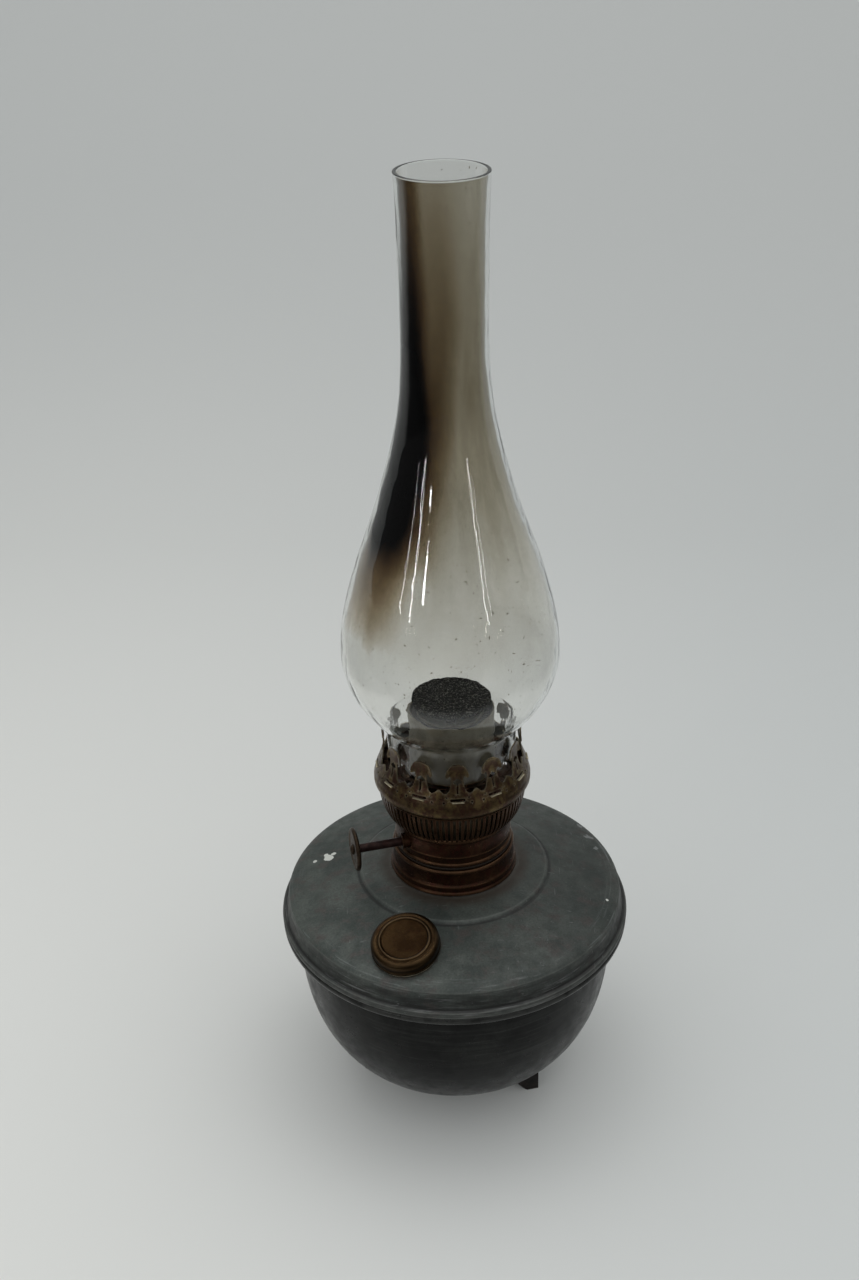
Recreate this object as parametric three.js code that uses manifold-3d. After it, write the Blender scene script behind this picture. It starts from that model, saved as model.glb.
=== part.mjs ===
// Kerosene lamp: a round zinc font on three feet, a brass burner with a round wick,
// a flame disc and a bulbed glass chimney.
// Millimetres, +Z up. The origin is on the table, under the lamp's axis.
// The front of the lamp, with the filler cap, faces -Y.

import * as THREE from "three";
import { mergeVertices, mergeGeometries } from "three/addons/utils/BufferGeometryUtils.js";
import Module from "manifold-3d";

const wasm = await Module();
wasm.setup();

// Fit between pieces
const SEAT = 0.3;
const TURN = Math.PI * 2;

// Font: the bowl is a superellipse turned about the axis
const BOWL_RADIUS = 74.6;
const BOWL_BOTTOM = 8;
const BOWL_MOUTH = 92.4;
const BOWL_SIDE_POWER = 2.51;
const BOWL_DEPTH_POWER = 2.74;
const FONT_WALL = 1;
const SEAM_TOP = 96.4;
const FLANGE_UNDERSIDE = 92.7;
const LOWER_BEAD_RADIUS = 81.6;
const RIM_RADIUS = 81.75;
const BOWL_STEPS = 8;

// Font top: a dome of two levels with a small step between them, a shoulder and a rolled rim
const DOME_CROWN = 123.5;
const DOME_FALL = 0.002315;
const CENTRE_RISE = 1;
const STEP_INNER = 43;
const STEP_OUTER = 44.6;
const PLATE_EDGE = 76.4;
const SHOULDER_RADIUS = 78.3;
const SHOULDER_HEIGHT = 107.9;
const SKIRT_RADIUS = 79.5;
const SKIRT_FOOT = 101.2;
const RIM_TOP = 98.9;
const RIM_FOLD = 97.4;
const COLLAR_HOLE = 28;

// Feet: soldered on by hand, so not quite evenly round the bowl
const FOOT_AZIMUTHS = { foot_front: -32, foot_back: 80, foot_left: 192 };
const FOOT_NOSE = 47;
const FOOT_SHEET = 1.3;
const FOOT_ARM = 11;
const FOOT_TOP_HALF = 8;
const FOOT_BASE_HALF = 4;
const FOOT_HEIGHT = 26;
const FOOT_PAD = 1.4;

// Filler: neck, cap and washer stand square to the dome
const FILLER_RADIUS = 59.8;
const FILLER_AZIMUTH = -111.2;
const NECK_OUTER = 13.4;
const NECK_BORE = 12.4;
const NECK_TOP = 4.2;
const NECK_BOTTOM = -3;
const NECK_FLANGE = 15;
const WASHER_BORE = 11;
const WASHER_RADIUS = 13.3;
const CAP_RADIUS = 15.5;
const CAP_BORE = 13.9;
const CAP_SKIRT = 0.7;
const CAP_RING_TOP = 7.6;
const CAP_SHOULDER = 7.4;
const CAP_DISH = 6.9;
const CAP_CEILING = 5.9;
const CAP_RING = 11;

// Burner: collar, base, body and wick tubes
const COLLAR_BORE = 26.2;
const COLLAR_RADIUS = 27.7;
const COLLAR_BOTTOM = 119;
const COLLAR_TOP = 135.6;
const THREAD_RADIUS = 25.9;
const FLANGE_RADIUS = 27.4;
const BASE_FLANGE = 137.2;
const BASE_BORE = 25;
const BODY_RADIUS = 26.5;
const BODY_BORE = 25.9;
const BASE_FLOOR = 124.5;
const BASE_TOP = 139.1;
const BODY_TOP = 151.3;
const OUTER_TUBE_RADIUS = 19.55;
const OUTER_TUBE_BORE = 18.95;
const OUTER_TUBE_TOP = 205.8;
const TUBE_NARROWING = 0.35;
const INNER_TUBE_RADIUS = 15.2;
const INNER_TUBE_BORE = 14.6;
const INNER_TUBE_TOP = 205;
const INNER_TUBE_FLOOR = 128;

// Side draught: a short duct that brings air through the wick into the inner tube
const DRAUGHT_WIDTH = 14;
const DRAUGHT_BOTTOM = 153;
const DRAUGHT_TOP = 165;
const DRAUGHT_SHEET = 0.8;

// Wick, its carrier and rack: they rise and fall together
const WICK_OUTER = 17.85;
const WICK_INNER = 15.5;
const WICK_TOP = 204.5;
const WICK_BOTTOM = 23;
const WICK_DROP = 12;
const WICK_TAIL_HALF = 12;
const CARRIER_OUTER = 18.65;
const CARRIER_INNER = 18.15;
const CARRIER_BOTTOM = 137;
const CARRIER_TOP = 147;
const LUG_HALF = 1.1;
const LUG_REACH = 22.2;
const RACK_FOOT = 140.3;
const RACK_HEAD = 158.5;
const RACK_AZIMUTH = 208.3;
const TEETH = 12;
const PINION_PITCH_RADIUS = 3;
const SPINDLE_Z = 144.5;
const SPINDLE_ENTRY = new THREE.Vector2(-21.2, -15.3);
const SPINDLE_AZIMUTH = 194.9;
const SPINDLE_RADIUS = 2;
const SPINDLE_END_RADIUS = 1.2;
const SPINDLE_BORE = 1.5;
const BUSH_FLANGE = 3.9;
const BUSH_RADIUS = 3.2;
const BUSH_HOLE = 3.6;
const KNOB_DISTANCE = 24.2;
const KNOB_RADIUS = 10;
const RIVET_RADIUS = 2.4;

// Gallery: slotted basket, band, crown of leaning prongs and the ledge for the glass
const SLOT_COUNT = 72;
const SLOT_WIDTH = 1.5;
const SLOT_BOTTOM = 153;
const SLOT_TOP = 168;
const PRONG_COUNT = 12;
const PRONG_AZIMUTH = -86;
const BASKET_TOP = 168.7;
const BASKET_RADIUS = 33.6;
const BAND_BOTTOM = 169;
const BAND_RADIUS = 35.6;
const PRONG_FOOT = 183.2;
const PRONG_RADIUS = 30.9;
const CROWN_TOP = 195.5;
const CROWN_SHEET = 0.7;
const LEDGE_BOTTOM = 175;
const LEDGE_TOP = 175.9;
const LEDGE_LIP = 177.6;
const LEDGE_SHEET = 0.6;
const LEDGE_RADIUS = 33.5;
const LEDGE_HOLES = 10;
const LEDGE_HOLE_RADIUS = 1.9;
const LEDGE_HOLE_CIRCLE = 24.2;

// Flame disc on its stem
const DISC_RADIUS = 18;
const DISC_TOP = 211.2;
const DISC_SHEET = 1.4;
const DISC_CHAMFER = 0.5;
const BOSS_RADIUS = 3;
const BOSS_BOTTOM = 206.5;
const STEM_RADIUS = 1.4;
const STEM_BOTTOM = 180;
const STEM_TOP = 209.3;
const STEM_SHOULDER = 198.3;
const SPIDER_HUB = 2.8;
const SPIDER_BOTTOM = 190;
const SPIDER_TOP = 198;

// Chimney
const GLASS = 1.5;
const CHIMNEY_FOOT = LEDGE_TOP + SEAT;
const FITTER_RADIUS = 28.9;
const CREASE = 199.6;
const BULB_RADIUS = 47.7;
const BULB_HEIGHT = 236;
const THROAT_RADIUS = 17.7;
const THROAT_HEIGHT = 375;
const CHIMNEY_TOP = 441.5;
const LIP_RADIUS = 18.9;
const LIP_EDGE = 0.5;

// Facets round the axis
const FONT_FACETS = 36;
const TUBE_FACETS = 30;
const GLASS_FACETS = 28;
const SMALL_FACETS = 20;
const ROD_FACETS = 12;

// Finishes
const zinc = new THREE.MeshStandardMaterial({ color: 0x7d8480, roughness: 0.55, metalness: 0.7 });
const zincBowl = new THREE.MeshStandardMaterial({ color: 0x5d6060, roughness: 0.5, metalness: 0.7 });
const darkIron = new THREE.MeshStandardMaterial({ color: 0x2b2320, roughness: 0.6, metalness: 0.6 });
const brownBrass = new THREE.MeshStandardMaterial({ color: 0x6b5238, roughness: 0.45, metalness: 0.85 });
const goldBrass = new THREE.MeshStandardMaterial({ color: 0x8a6f47, roughness: 0.4, metalness: 0.85 });
const steel = new THREE.MeshStandardMaterial({ color: 0x5a5450, roughness: 0.5, metalness: 0.9 });
const soot = new THREE.MeshStandardMaterial({ color: 0x2a2927, roughness: 0.95, metalness: 0.1 });
const leather = new THREE.MeshStandardMaterial({ color: 0x4a3626, roughness: 0.9, metalness: 0 });
const cotton = new THREE.MeshStandardMaterial({ color: 0xc8bda0, roughness: 1, metalness: 0 });
const glass = new THREE.MeshStandardMaterial({
  color: 0xb9bdb4,
  roughness: 0.05,
  metalness: 0,
  transparent: true,
  opacity: 0.35,
});

const lamp = new THREE.Group();

function radians(degrees) {
  return (degrees * Math.PI) / 180;
}

// Signed volume, negative where the faces point inwards
function signedVolume(geometry) {
  const position = geometry.attributes.position;
  const index = geometry.index.array;
  const corner = [0, 1, 2].map(() => new THREE.Vector3());
  let sum = 0;
  for (let i = 0; i < index.length; i += 3) {
    corner.forEach((point, k) => point.fromBufferAttribute(position, index[i + k]));
    sum += corner[0].dot(corner[1].clone().cross(corner[2])) / 6;
  }
  return sum;
}

// One closed skin: shared corners merged, flat triangles dropped, faces outwards
function weld(geometry) {
  const bare = geometry.clone();
  bare.deleteAttribute("normal");
  bare.deleteAttribute("uv");
  const welded = mergeVertices(bare, 1e-4);
  const index = welded.index.array;
  const kept = [];
  for (let i = 0; i < index.length; i += 3) {
    const [a, b, c] = index.slice(i, i + 3);
    if (a !== b && b !== c && c !== a) kept.push(a, b, c);
  }
  welded.setIndex(kept);
  if (signedVolume(welded) < 0) {
    const turned = [];
    for (let i = 0; i < kept.length; i += 3) turned.push(kept[i], kept[i + 2], kept[i + 1]);
    welded.setIndex(turned);
  }
  return welded;
}

function toSolid(geometry) {
  const welded = weld(geometry);
  return new wasm.Manifold(new wasm.Mesh({
    numProp: 3,
    vertProperties: new Float32Array(welded.attributes.position.array),
    triVerts: new Uint32Array(welded.index.array),
  }));
}

function toGeometry(solid) {
  const mesh = solid.getMesh();
  const geometry = new THREE.BufferGeometry();
  geometry.setAttribute("position", new THREE.BufferAttribute(mesh.vertProperties, 3));
  geometry.setIndex(new THREE.BufferAttribute(mesh.triVerts, 1));
  return weld(geometry);
}

function cut(geometry, tools) {
  return toGeometry(toSolid(geometry).subtract(toSolid(mergeGeometries(tools))));
}

function join(...geometries) {
  return toGeometry(geometries.map(toSolid).reduce((whole, next) => whole.add(next)));
}

// A section [radius, height] turned about the lamp's axis. A ring's section closes itself.
function turned(section, facets) {
  const points = section.map(([r, z]) => new THREE.Vector2(r, z));
  if (section[0][0] > 0) points.push(points[0].clone());
  const geometry = new THREE.LatheGeometry(points, facets);
  return weld(geometry.rotateX(Math.PI / 2));
}

function polygon(points) {
  return new THREE.Shape(points.map(([u, v]) => new THREE.Vector2(u, v)));
}

// A flat outline [across, up] pushed outwards along a radius, from one radius to another
function radialPrism(outline, azimuth, from, to) {
  const shape = outline instanceof THREE.Shape ? outline : polygon(outline);
  const options = { depth: to - from, bevelEnabled: false, curveSegments: 4 };
  const prism = new THREE.ExtrudeGeometry(shape, options);
  const angle = radians(azimuth);
  const outward = new THREE.Vector3(Math.cos(angle), Math.sin(angle), 0);
  const across = new THREE.Vector3(-Math.sin(angle), Math.cos(angle), 0);
  const up = new THREE.Vector3(0, 0, 1);
  const place = new THREE.Matrix4().makeBasis(across, up, outward);
  place.setPosition(outward.clone().multiplyScalar(from));
  return bareSkin(prism.applyMatrix4(place));
}

// A prism without its normals, so that it can be merged with others
function bareSkin(geometry) {
  geometry.deleteAttribute("normal");
  geometry.deleteAttribute("uv");
  return mergeVertices(geometry, 1e-4);
}

function rectangle(halfWidth, bottom, top) {
  return [[-halfWidth, bottom], [halfWidth, bottom], [halfWidth, top], [-halfWidth, top]];
}

function mirrored(half) {
  const other = half.filter(([u]) => u !== 0).map(([u, v]) => [-u, v]).reverse();
  return [...half, ...other];
}

function add(name, geometry, material, parent = lamp) {
  geometry.computeVertexNormals();
  const mesh = new THREE.Mesh(geometry, material);
  mesh.name = name;
  parent.add(mesh);
  return mesh;
}

// Font bowl

function bowlSection(wall) {
  const points = [];
  for (let i = 0; i <= BOWL_STEPS; i += 1) {
    const angle = (i / BOWL_STEPS) * (Math.PI / 2);
    const radius = (BOWL_RADIUS - wall) * Math.sin(angle) ** (2 / BOWL_SIDE_POWER);
    const depth = (BOWL_MOUTH - BOWL_BOTTOM - wall) * Math.cos(angle) ** (2 / BOWL_DEPTH_POWER);
    points.push([radius, BOWL_MOUTH - depth]);
  }
  points[0][0] = 0;
  return points;
}

function bowlSolid(wall) {
  return turned([...bowlSection(wall), [0, BOWL_MOUTH]], FONT_FACETS);
}

const bowlOutside = bowlSection(0);
const bowlInside = bowlSection(FONT_WALL).reverse();
bowlOutside[BOWL_STEPS][1] -= 0.5;
add("font_bowl", turned([
  ...bowlOutside,
  [BOWL_RADIUS + 0.7, FLANGE_UNDERSIDE],
  [LOWER_BEAD_RADIUS - 1.1, FLANGE_UNDERSIDE],
  [LOWER_BEAD_RADIUS, FLANGE_UNDERSIDE + 1.1],
  [LOWER_BEAD_RADIUS, SEAM_TOP - 0.9],
  [LOWER_BEAD_RADIUS - 0.7, SEAM_TOP],
  [BOWL_RADIUS - FONT_WALL, SEAM_TOP],
  ...bowlInside,
], FONT_FACETS), zincBowl);

// Font top

function domeHeight(radius) {
  const rise = radius <= STEP_INNER ? CENTRE_RISE : 0;
  return DOME_CROWN + rise - DOME_FALL * radius * radius;
}

const plateStations = [COLLAR_HOLE, STEP_INNER, STEP_OUTER, 60, PLATE_EDGE];
const plateTop = plateStations.map((r) => [r, domeHeight(r)]);
const plateUnderside = plateStations.map((r) => [r, domeHeight(r) - FONT_WALL]).reverse();
const seamBottom = SEAM_TOP + SEAT;
const fontTop = turned([
  ...plateTop,
  [SHOULDER_RADIUS - 0.7, SHOULDER_HEIGHT + 1.4],
  [SHOULDER_RADIUS, SHOULDER_HEIGHT],
  [SKIRT_RADIUS, SKIRT_FOOT],
  [SKIRT_RADIUS + 0.9, SKIRT_FOOT - 1.5],
  [RIM_RADIUS, RIM_TOP],
  [RIM_RADIUS, RIM_FOLD],
  [RIM_RADIUS - 0.6, seamBottom],
  [BOWL_RADIUS - FONT_WALL + SEAT, seamBottom],
  [BOWL_RADIUS - FONT_WALL + SEAT, seamBottom + 1],
  [SKIRT_RADIUS - 1.4, seamBottom + 1.6],
  [SKIRT_RADIUS - 1.1, SKIRT_FOOT - 0.1],
  [SHOULDER_RADIUS - 1.1, SHOULDER_HEIGHT],
  ...plateUnderside,
], FONT_FACETS);

// The filler's own frame: on the dome, its axis square to the dome
const fillerSlope = Math.atan(2 * DOME_FALL * FILLER_RADIUS);
const filler = new THREE.Group();
filler.position.set(
  FILLER_RADIUS * Math.cos(radians(FILLER_AZIMUTH)),
  FILLER_RADIUS * Math.sin(radians(FILLER_AZIMUTH)),
  domeHeight(FILLER_RADIUS),
);
filler.rotation.set(0, fillerSlope, radians(FILLER_AZIMUTH), "ZYX");
filler.updateMatrix();
lamp.add(filler);

const fillerHole = turned([[0, -6], [NECK_OUTER + SEAT, -6], [NECK_OUTER + SEAT, 6], [0, 6]], SMALL_FACETS);
add("font_top", cut(fontTop, [fillerHole.applyMatrix4(filler.matrix)]), zinc);

// Feet: a bent sheet with its fold outwards, cut to the bowl above and folded in below

function foot(azimuth) {
  const fold = FOOT_SHEET * Math.SQRT2;
  const arm = FOOT_ARM;
  const chevron = polygon([
    [0, 0], [-arm, arm], [-arm - FOOT_SHEET, arm - FOOT_SHEET / 2], [-fold, 0],
    [-arm - FOOT_SHEET, FOOT_SHEET / 2 - arm], [-arm, -arm],
  ].map(([x, y]) => [x + FOOT_NOSE, y]));
  const padNose = FOOT_NOSE - FOOT_SHEET / 2;
  const padBack = padNose - FOOT_BASE_HALF;
  const pad = polygon([[padNose, 0], [padBack, FOOT_BASE_HALF], [padBack, -FOOT_BASE_HALF]]);
  const wall = new THREE.ExtrudeGeometry(chevron, { depth: FOOT_HEIGHT, bevelEnabled: false });
  const base = new THREE.ExtrudeGeometry(pad, { depth: FOOT_PAD, bevelEnabled: false });
  const side = new THREE.Shape();
  side.moveTo(-FOOT_BASE_HALF, 0);
  side.lineTo(FOOT_BASE_HALF, 0);
  side.quadraticCurveTo(FOOT_TOP_HALF, 4, FOOT_TOP_HALF + 1, FOOT_HEIGHT - 2);
  side.lineTo(-FOOT_TOP_HALF - 1, FOOT_HEIGHT - 2);
  side.quadraticCurveTo(-FOOT_TOP_HALF, 4, -FOOT_BASE_HALF, 0);
  const outline = radialPrism(side, 0, FOOT_NOSE - 20, FOOT_NOSE + 5);
  const clearOfBowl = bowlSolid(-SEAT).rotateZ(-radians(azimuth));
  const whole = toSolid(wall).add(toSolid(base)).intersect(toSolid(outline));
  const trimmed = whole.subtract(toSolid(clearOfBowl));
  return toGeometry(trimmed).rotateZ(radians(azimuth));
}

for (const [name, azimuth] of Object.entries(FOOT_AZIMUTHS)) {
  add(name, foot(azimuth), darkIron);
}

// Filler neck, washer and cap

add("filler_neck", turned([
  [NECK_BORE, NECK_BOTTOM], [NECK_OUTER, NECK_BOTTOM], [NECK_OUTER, -0.1], [NECK_FLANGE, -0.1],
  [NECK_FLANGE, 0.4], [NECK_OUTER, 0.4], [NECK_OUTER, NECK_TOP], [NECK_BORE, NECK_TOP],
], SMALL_FACETS), goldBrass, filler);

const washerBottom = NECK_TOP + SEAT;
add("filler_cap_washer", turned([
  [WASHER_BORE, washerBottom], [WASHER_RADIUS, washerBottom], [WASHER_RADIUS, washerBottom + 0.4],
  [WASHER_RADIUS - 1.1, CAP_CEILING - SEAT], [WASHER_BORE, CAP_CEILING - SEAT],
], SMALL_FACETS), leather, filler);

add("filler_cap", turned([
  [0, CAP_DISH], [CAP_RING - 0.6, CAP_DISH], [CAP_RING - 0.3, CAP_RING_TOP - 0.3],
  [CAP_RING, CAP_RING_TOP], [CAP_RING + 0.6, CAP_RING_TOP - 0.1], [CAP_RING + 1.1, CAP_DISH],
  [CAP_RADIUS - 2.2, CAP_SHOULDER], [CAP_RADIUS - 0.9, CAP_SHOULDER - 0.6],
  [CAP_RADIUS, CAP_SHOULDER - 2], [CAP_RADIUS, CAP_SKIRT + 0.5],
  [CAP_RADIUS - 0.4, CAP_SKIRT], [CAP_BORE, CAP_SKIRT], [CAP_BORE, CAP_CEILING - 1],
  [CAP_BORE - 1.5, CAP_CEILING], [0, CAP_CEILING],
], SMALL_FACETS), goldBrass, filler);

// Burner collar on the font, with the seal on top of it

add("burner_collar", turned([
  [COLLAR_BORE, COLLAR_BOTTOM], [COLLAR_RADIUS, COLLAR_BOTTOM], [COLLAR_RADIUS, COLLAR_BOTTOM + 4],
  [COLLAR_RADIUS + 2, COLLAR_BOTTOM + 4], [COLLAR_RADIUS + 1.5, COLLAR_BOTTOM + 5.6],
  [COLLAR_RADIUS + 1.6, COLLAR_BOTTOM + 8.3], [COLLAR_RADIUS + 0.5, COLLAR_BOTTOM + 9.8],
  [COLLAR_RADIUS, COLLAR_TOP - 2], [COLLAR_RADIUS + 0.4, COLLAR_TOP - 1],
  [COLLAR_RADIUS - 0.1, COLLAR_TOP], [COLLAR_BORE, COLLAR_TOP],
], TUBE_FACETS), brownBrass);

const sealBottom = COLLAR_TOP + SEAT;
const sealTop = BASE_FLANGE - SEAT;
add("burner_seal", turned([
  [COLLAR_BORE, sealBottom], [COLLAR_BORE + 1, sealBottom],
  [COLLAR_BORE + 1, sealTop], [COLLAR_BORE, sealTop],
], TUBE_FACETS), leather);

// Burner base screws into the collar; the body stands on it

const baseBore = OUTER_TUBE_RADIUS + SEAT;
add("burner_base", turned([
  [baseBore, BASE_FLOOR], [THREAD_RADIUS, BASE_FLOOR], [THREAD_RADIUS, BASE_FLANGE],
  [FLANGE_RADIUS - 0.4, BASE_FLANGE], [FLANGE_RADIUS, BASE_FLANGE + 0.7],
  [FLANGE_RADIUS - 0.2, BASE_TOP - 0.4], [FLANGE_RADIUS - 0.8, BASE_TOP],
  [BASE_BORE, BASE_TOP], [BASE_BORE, BASE_FLOOR + 1], [baseBore, BASE_FLOOR + 1],
], TUBE_FACETS), brownBrass);

// The spindle's own frame: X runs from the knob towards the wick, Z is up
const spindleFrame = new THREE.Group();
spindleFrame.position.set(SPINDLE_ENTRY.x, SPINDLE_ENTRY.y, SPINDLE_Z);
spindleFrame.rotation.z = radians(SPINDLE_AZIMUTH - 180);
spindleFrame.updateMatrix();
lamp.add(spindleFrame);

// A section [distance along the spindle, radius] turned about the spindle
function turnedOnSpindle(section, facets) {
  return turned(section.map(([s, r]) => [r, s]), facets).rotateY(Math.PI / 2);
}

const bushHole = turnedOnSpindle([[-5, 0], [-5, BUSH_HOLE], [4, BUSH_HOLE], [4, 0]], ROD_FACETS);
const body = turned([
  [BODY_BORE, BASE_TOP + SEAT], [BODY_RADIUS, BASE_TOP + SEAT], [BODY_RADIUS, BODY_TOP - 1.7],
  [BODY_RADIUS + 0.5, BODY_TOP - 1.1], [BODY_RADIUS + 0.5, BODY_TOP - 0.4],
  [BODY_RADIUS, BODY_TOP], [BODY_BORE, BODY_TOP],
], TUBE_FACETS);
add("burner_body", cut(body, [bushHole.applyMatrix4(spindleFrame.matrix)]), brownBrass);

// Wick tubes

const tubeNeck = OUTER_TUBE_TOP - 2.8;
const outerTube = turned([
  [OUTER_TUBE_BORE, BASE_FLOOR], [OUTER_TUBE_RADIUS, BASE_FLOOR], [OUTER_TUBE_RADIUS, tubeNeck],
  [OUTER_TUBE_RADIUS - TUBE_NARROWING, OUTER_TUBE_TOP],
  [OUTER_TUBE_BORE - TUBE_NARROWING, OUTER_TUBE_TOP], [OUTER_TUBE_BORE, tubeNeck],
], TUBE_FACETS);
const lugSlot = rectangle(LUG_HALF + 0.5, CARRIER_BOTTOM - WICK_DROP + 0.8, RACK_FOOT + 3.7);
add("outer_wick_tube", cut(outerTube, [
  radialPrism(lugSlot, RACK_AZIMUTH, 16, 22),
  radialPrism(rectangle(DRAUGHT_WIDTH / 2 + 0.5, DRAUGHT_BOTTOM - 0.5, DRAUGHT_TOP + 0.5), 90, 16, 22),
]), brownBrass);

const innerTube = turned([
  [0, INNER_TUBE_FLOOR], [INNER_TUBE_RADIUS, INNER_TUBE_FLOOR], [INNER_TUBE_RADIUS, INNER_TUBE_TOP],
  [INNER_TUBE_BORE, INNER_TUBE_TOP], [INNER_TUBE_BORE, INNER_TUBE_FLOOR + 1], [0, INNER_TUBE_FLOOR + 1],
], TUBE_FACETS);
const ductOutside = rectangle(DRAUGHT_WIDTH / 2, DRAUGHT_BOTTOM, DRAUGHT_TOP);
const ductInside = rectangle(
  DRAUGHT_WIDTH / 2 - DRAUGHT_SHEET,
  DRAUGHT_BOTTOM + DRAUGHT_SHEET,
  DRAUGHT_TOP - DRAUGHT_SHEET,
);
const ductReach = OUTER_TUBE_BORE - SEAT;
const hollowOfTube = turned([
  [0, INNER_TUBE_FLOOR + 1], [INNER_TUBE_BORE, INNER_TUBE_FLOOR + 1],
  [INNER_TUBE_BORE, INNER_TUBE_TOP + 1], [0, INNER_TUBE_TOP + 1],
], TUBE_FACETS);
const tubeWithDuct = toSolid(innerTube)
  .add(toSolid(radialPrism(ductOutside, 90, 10, ductReach)).subtract(toSolid(hollowOfTube)))
  .subtract(toSolid(radialPrism(ductInside, 90, 9, 22)));
add("inner_wick_tube", toGeometry(tubeWithDuct), brownBrass);

// Gallery: slotted basket

const basket = turned([
  [BODY_BORE + 0.4, BODY_TOP + SEAT], [BODY_RADIUS + 0.45, BODY_TOP + SEAT],
  [BODY_RADIUS + 1.3, SLOT_BOTTOM - 0.2], [BASKET_RADIUS - 1.6, SLOT_BOTTOM + 5.6],
  [BASKET_RADIUS, BASKET_TOP], [BASKET_RADIUS - CROWN_SHEET, BASKET_TOP],
  [BASKET_RADIUS - 2.3, SLOT_BOTTOM + 5.9], [BODY_RADIUS + 0.4, SLOT_BOTTOM - 0.2],
], SLOT_COUNT / 3);
const slots = [];
for (let i = 0; i < SLOT_COUNT; i += 1) {
  const azimuth = ((i + 0.5) * 360) / SLOT_COUNT;
  slots.push(radialPrism(rectangle(SLOT_WIDTH / 2, SLOT_BOTTOM, SLOT_TOP), azimuth, 24, 36));
}
add("gallery_basket", cut(basket, slots), brownBrass);

// Gallery: band and crown in one pressing, pierced into leaning prongs with mushroom heads

const bandBore = BAND_RADIUS - 1.3;
const prongFootRadius = PRONG_RADIUS + 0.7;
const crown = turned([
  [BAND_RADIUS - 2.3, BAND_BOTTOM], [BAND_RADIUS - 0.7, BAND_BOTTOM + 0.2],
  [BAND_RADIUS, BAND_BOTTOM + 1.3], [BAND_RADIUS, BAND_BOTTOM + 3.9],
  [BAND_RADIUS - 0.6, BAND_BOTTOM + 6.8], [prongFootRadius, PRONG_FOOT],
  [PRONG_RADIUS, CROWN_TOP + 0.5], [PRONG_RADIUS - CROWN_SHEET, CROWN_TOP + 0.5],
  [prongFootRadius - CROWN_SHEET, PRONG_FOOT - 0.2],
  [bandBore, BAND_BOTTOM + 6.4], [bandBore, BAND_BOTTOM + 5.8],
  [BAND_RADIUS - 3.2, BAND_BOTTOM + 5.6], [bandBore, BAND_BOTTOM + 4.4],
  [bandBore, BAND_BOTTOM + 1.4], [BAND_RADIUS - 2.3, BAND_BOTTOM + 0.9],
], PRONG_COUNT * 2);

// The opening between two prongs: two lobes below, the heads' undersides, then the open top
const gapOutline = mirrored([
  [0, 182.6], [-3, 181.3], [-5.2, 183.4], [-5.1, 187.7], [-3.5, 188.6],
  [-3.7, 192.2], [-5.8, 194.6], [-9, CROWN_TOP + 0.1], [-9, CROWN_TOP + 3],
]);
const slitOutline = rectangle(3.3, 178.3, 179.4);
const teeOutline = [
  [-0.45, 181], [0.45, 181], [0.45, 186.7], [1.9, 186.7], [1.9, 187.8],
  [-1.9, 187.8], [-1.9, 186.7], [-0.45, 186.7],
];
const piercings = [];
for (let i = 0; i < PRONG_COUNT; i += 1) {
  const prong = PRONG_AZIMUTH + (i * 360) / PRONG_COUNT;
  piercings.push(radialPrism(slitOutline, prong, 26, 38));
  piercings.push(radialPrism(teeOutline, prong, 26, 38));
}
const gaps = [];
for (let i = 0; i < PRONG_COUNT; i += 1) {
  gaps.push(radialPrism(gapOutline, PRONG_AZIMUTH + (i + 0.5) * (360 / PRONG_COUNT), 26, 38));
}
const evenGaps = gaps.filter((_, i) => i % 2 === 0);
const oddGaps = gaps.filter((_, i) => i % 2 === 1);
const crownStart = radians(PRONG_AZIMUTH) + TURN / PRONG_COUNT / 4;
add("gallery_crown", cut(cut(cut(crown.rotateZ(crownStart), piercings), evenGaps), oddGaps), goldBrass);

// Ledge that the glass stands on, pierced for the outer draught

const ledgeBore = OUTER_TUBE_RADIUS + 0.55;
const ledge = turned([
  [ledgeBore, LEDGE_BOTTOM], [LEDGE_RADIUS, LEDGE_BOTTOM], [LEDGE_RADIUS, LEDGE_TOP],
  [ledgeBore + LEDGE_SHEET, LEDGE_TOP], [ledgeBore + LEDGE_SHEET, LEDGE_LIP], [ledgeBore, LEDGE_LIP],
], SMALL_FACETS);
const ledgeHoles = [];
for (let i = 0; i < LEDGE_HOLES; i += 1) {
  const hole = new THREE.CylinderGeometry(LEDGE_HOLE_RADIUS, LEDGE_HOLE_RADIUS, 6, 6);
  hole.rotateX(Math.PI / 2).translate(LEDGE_HOLE_CIRCLE, 0, LEDGE_BOTTOM + 0.4);
  ledgeHoles.push(bareSkin(hole.rotateZ((i * TURN) / LEDGE_HOLES)));
}
add("chimney_ledge", cut(ledge, ledgeHoles), brownBrass);

// Wick raiser: bush, spindle, pinion, knob and rivet

const bushBore = SPINDLE_RADIUS + SEAT;
add("spindle_bush", turnedOnSpindle([
  [-2.6, bushBore], [-2.6, BUSH_FLANGE], [-2, BUSH_FLANGE],
  [-2, BUSH_RADIUS], [1.1, BUSH_RADIUS], [1.1, bushBore],
], ROD_FACETS), brownBrass, spindleFrame);

const knobInside = -KNOB_DISTANCE + 1.2;
const knobOutside = -KNOB_DISTANCE - 1.2;
add("raiser_spindle", turnedOnSpindle([
  [knobOutside - 0.1, 0], [knobOutside - 0.1, SPINDLE_END_RADIUS],
  [knobInside + SEAT, SPINDLE_END_RADIUS], [knobInside + SEAT, SPINDLE_RADIUS],
  [2.1, SPINDLE_RADIUS], [2.1, SPINDLE_END_RADIUS], [5.6, SPINDLE_END_RADIUS], [5.6, 0],
], ROD_FACETS), steel, spindleFrame);

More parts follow.
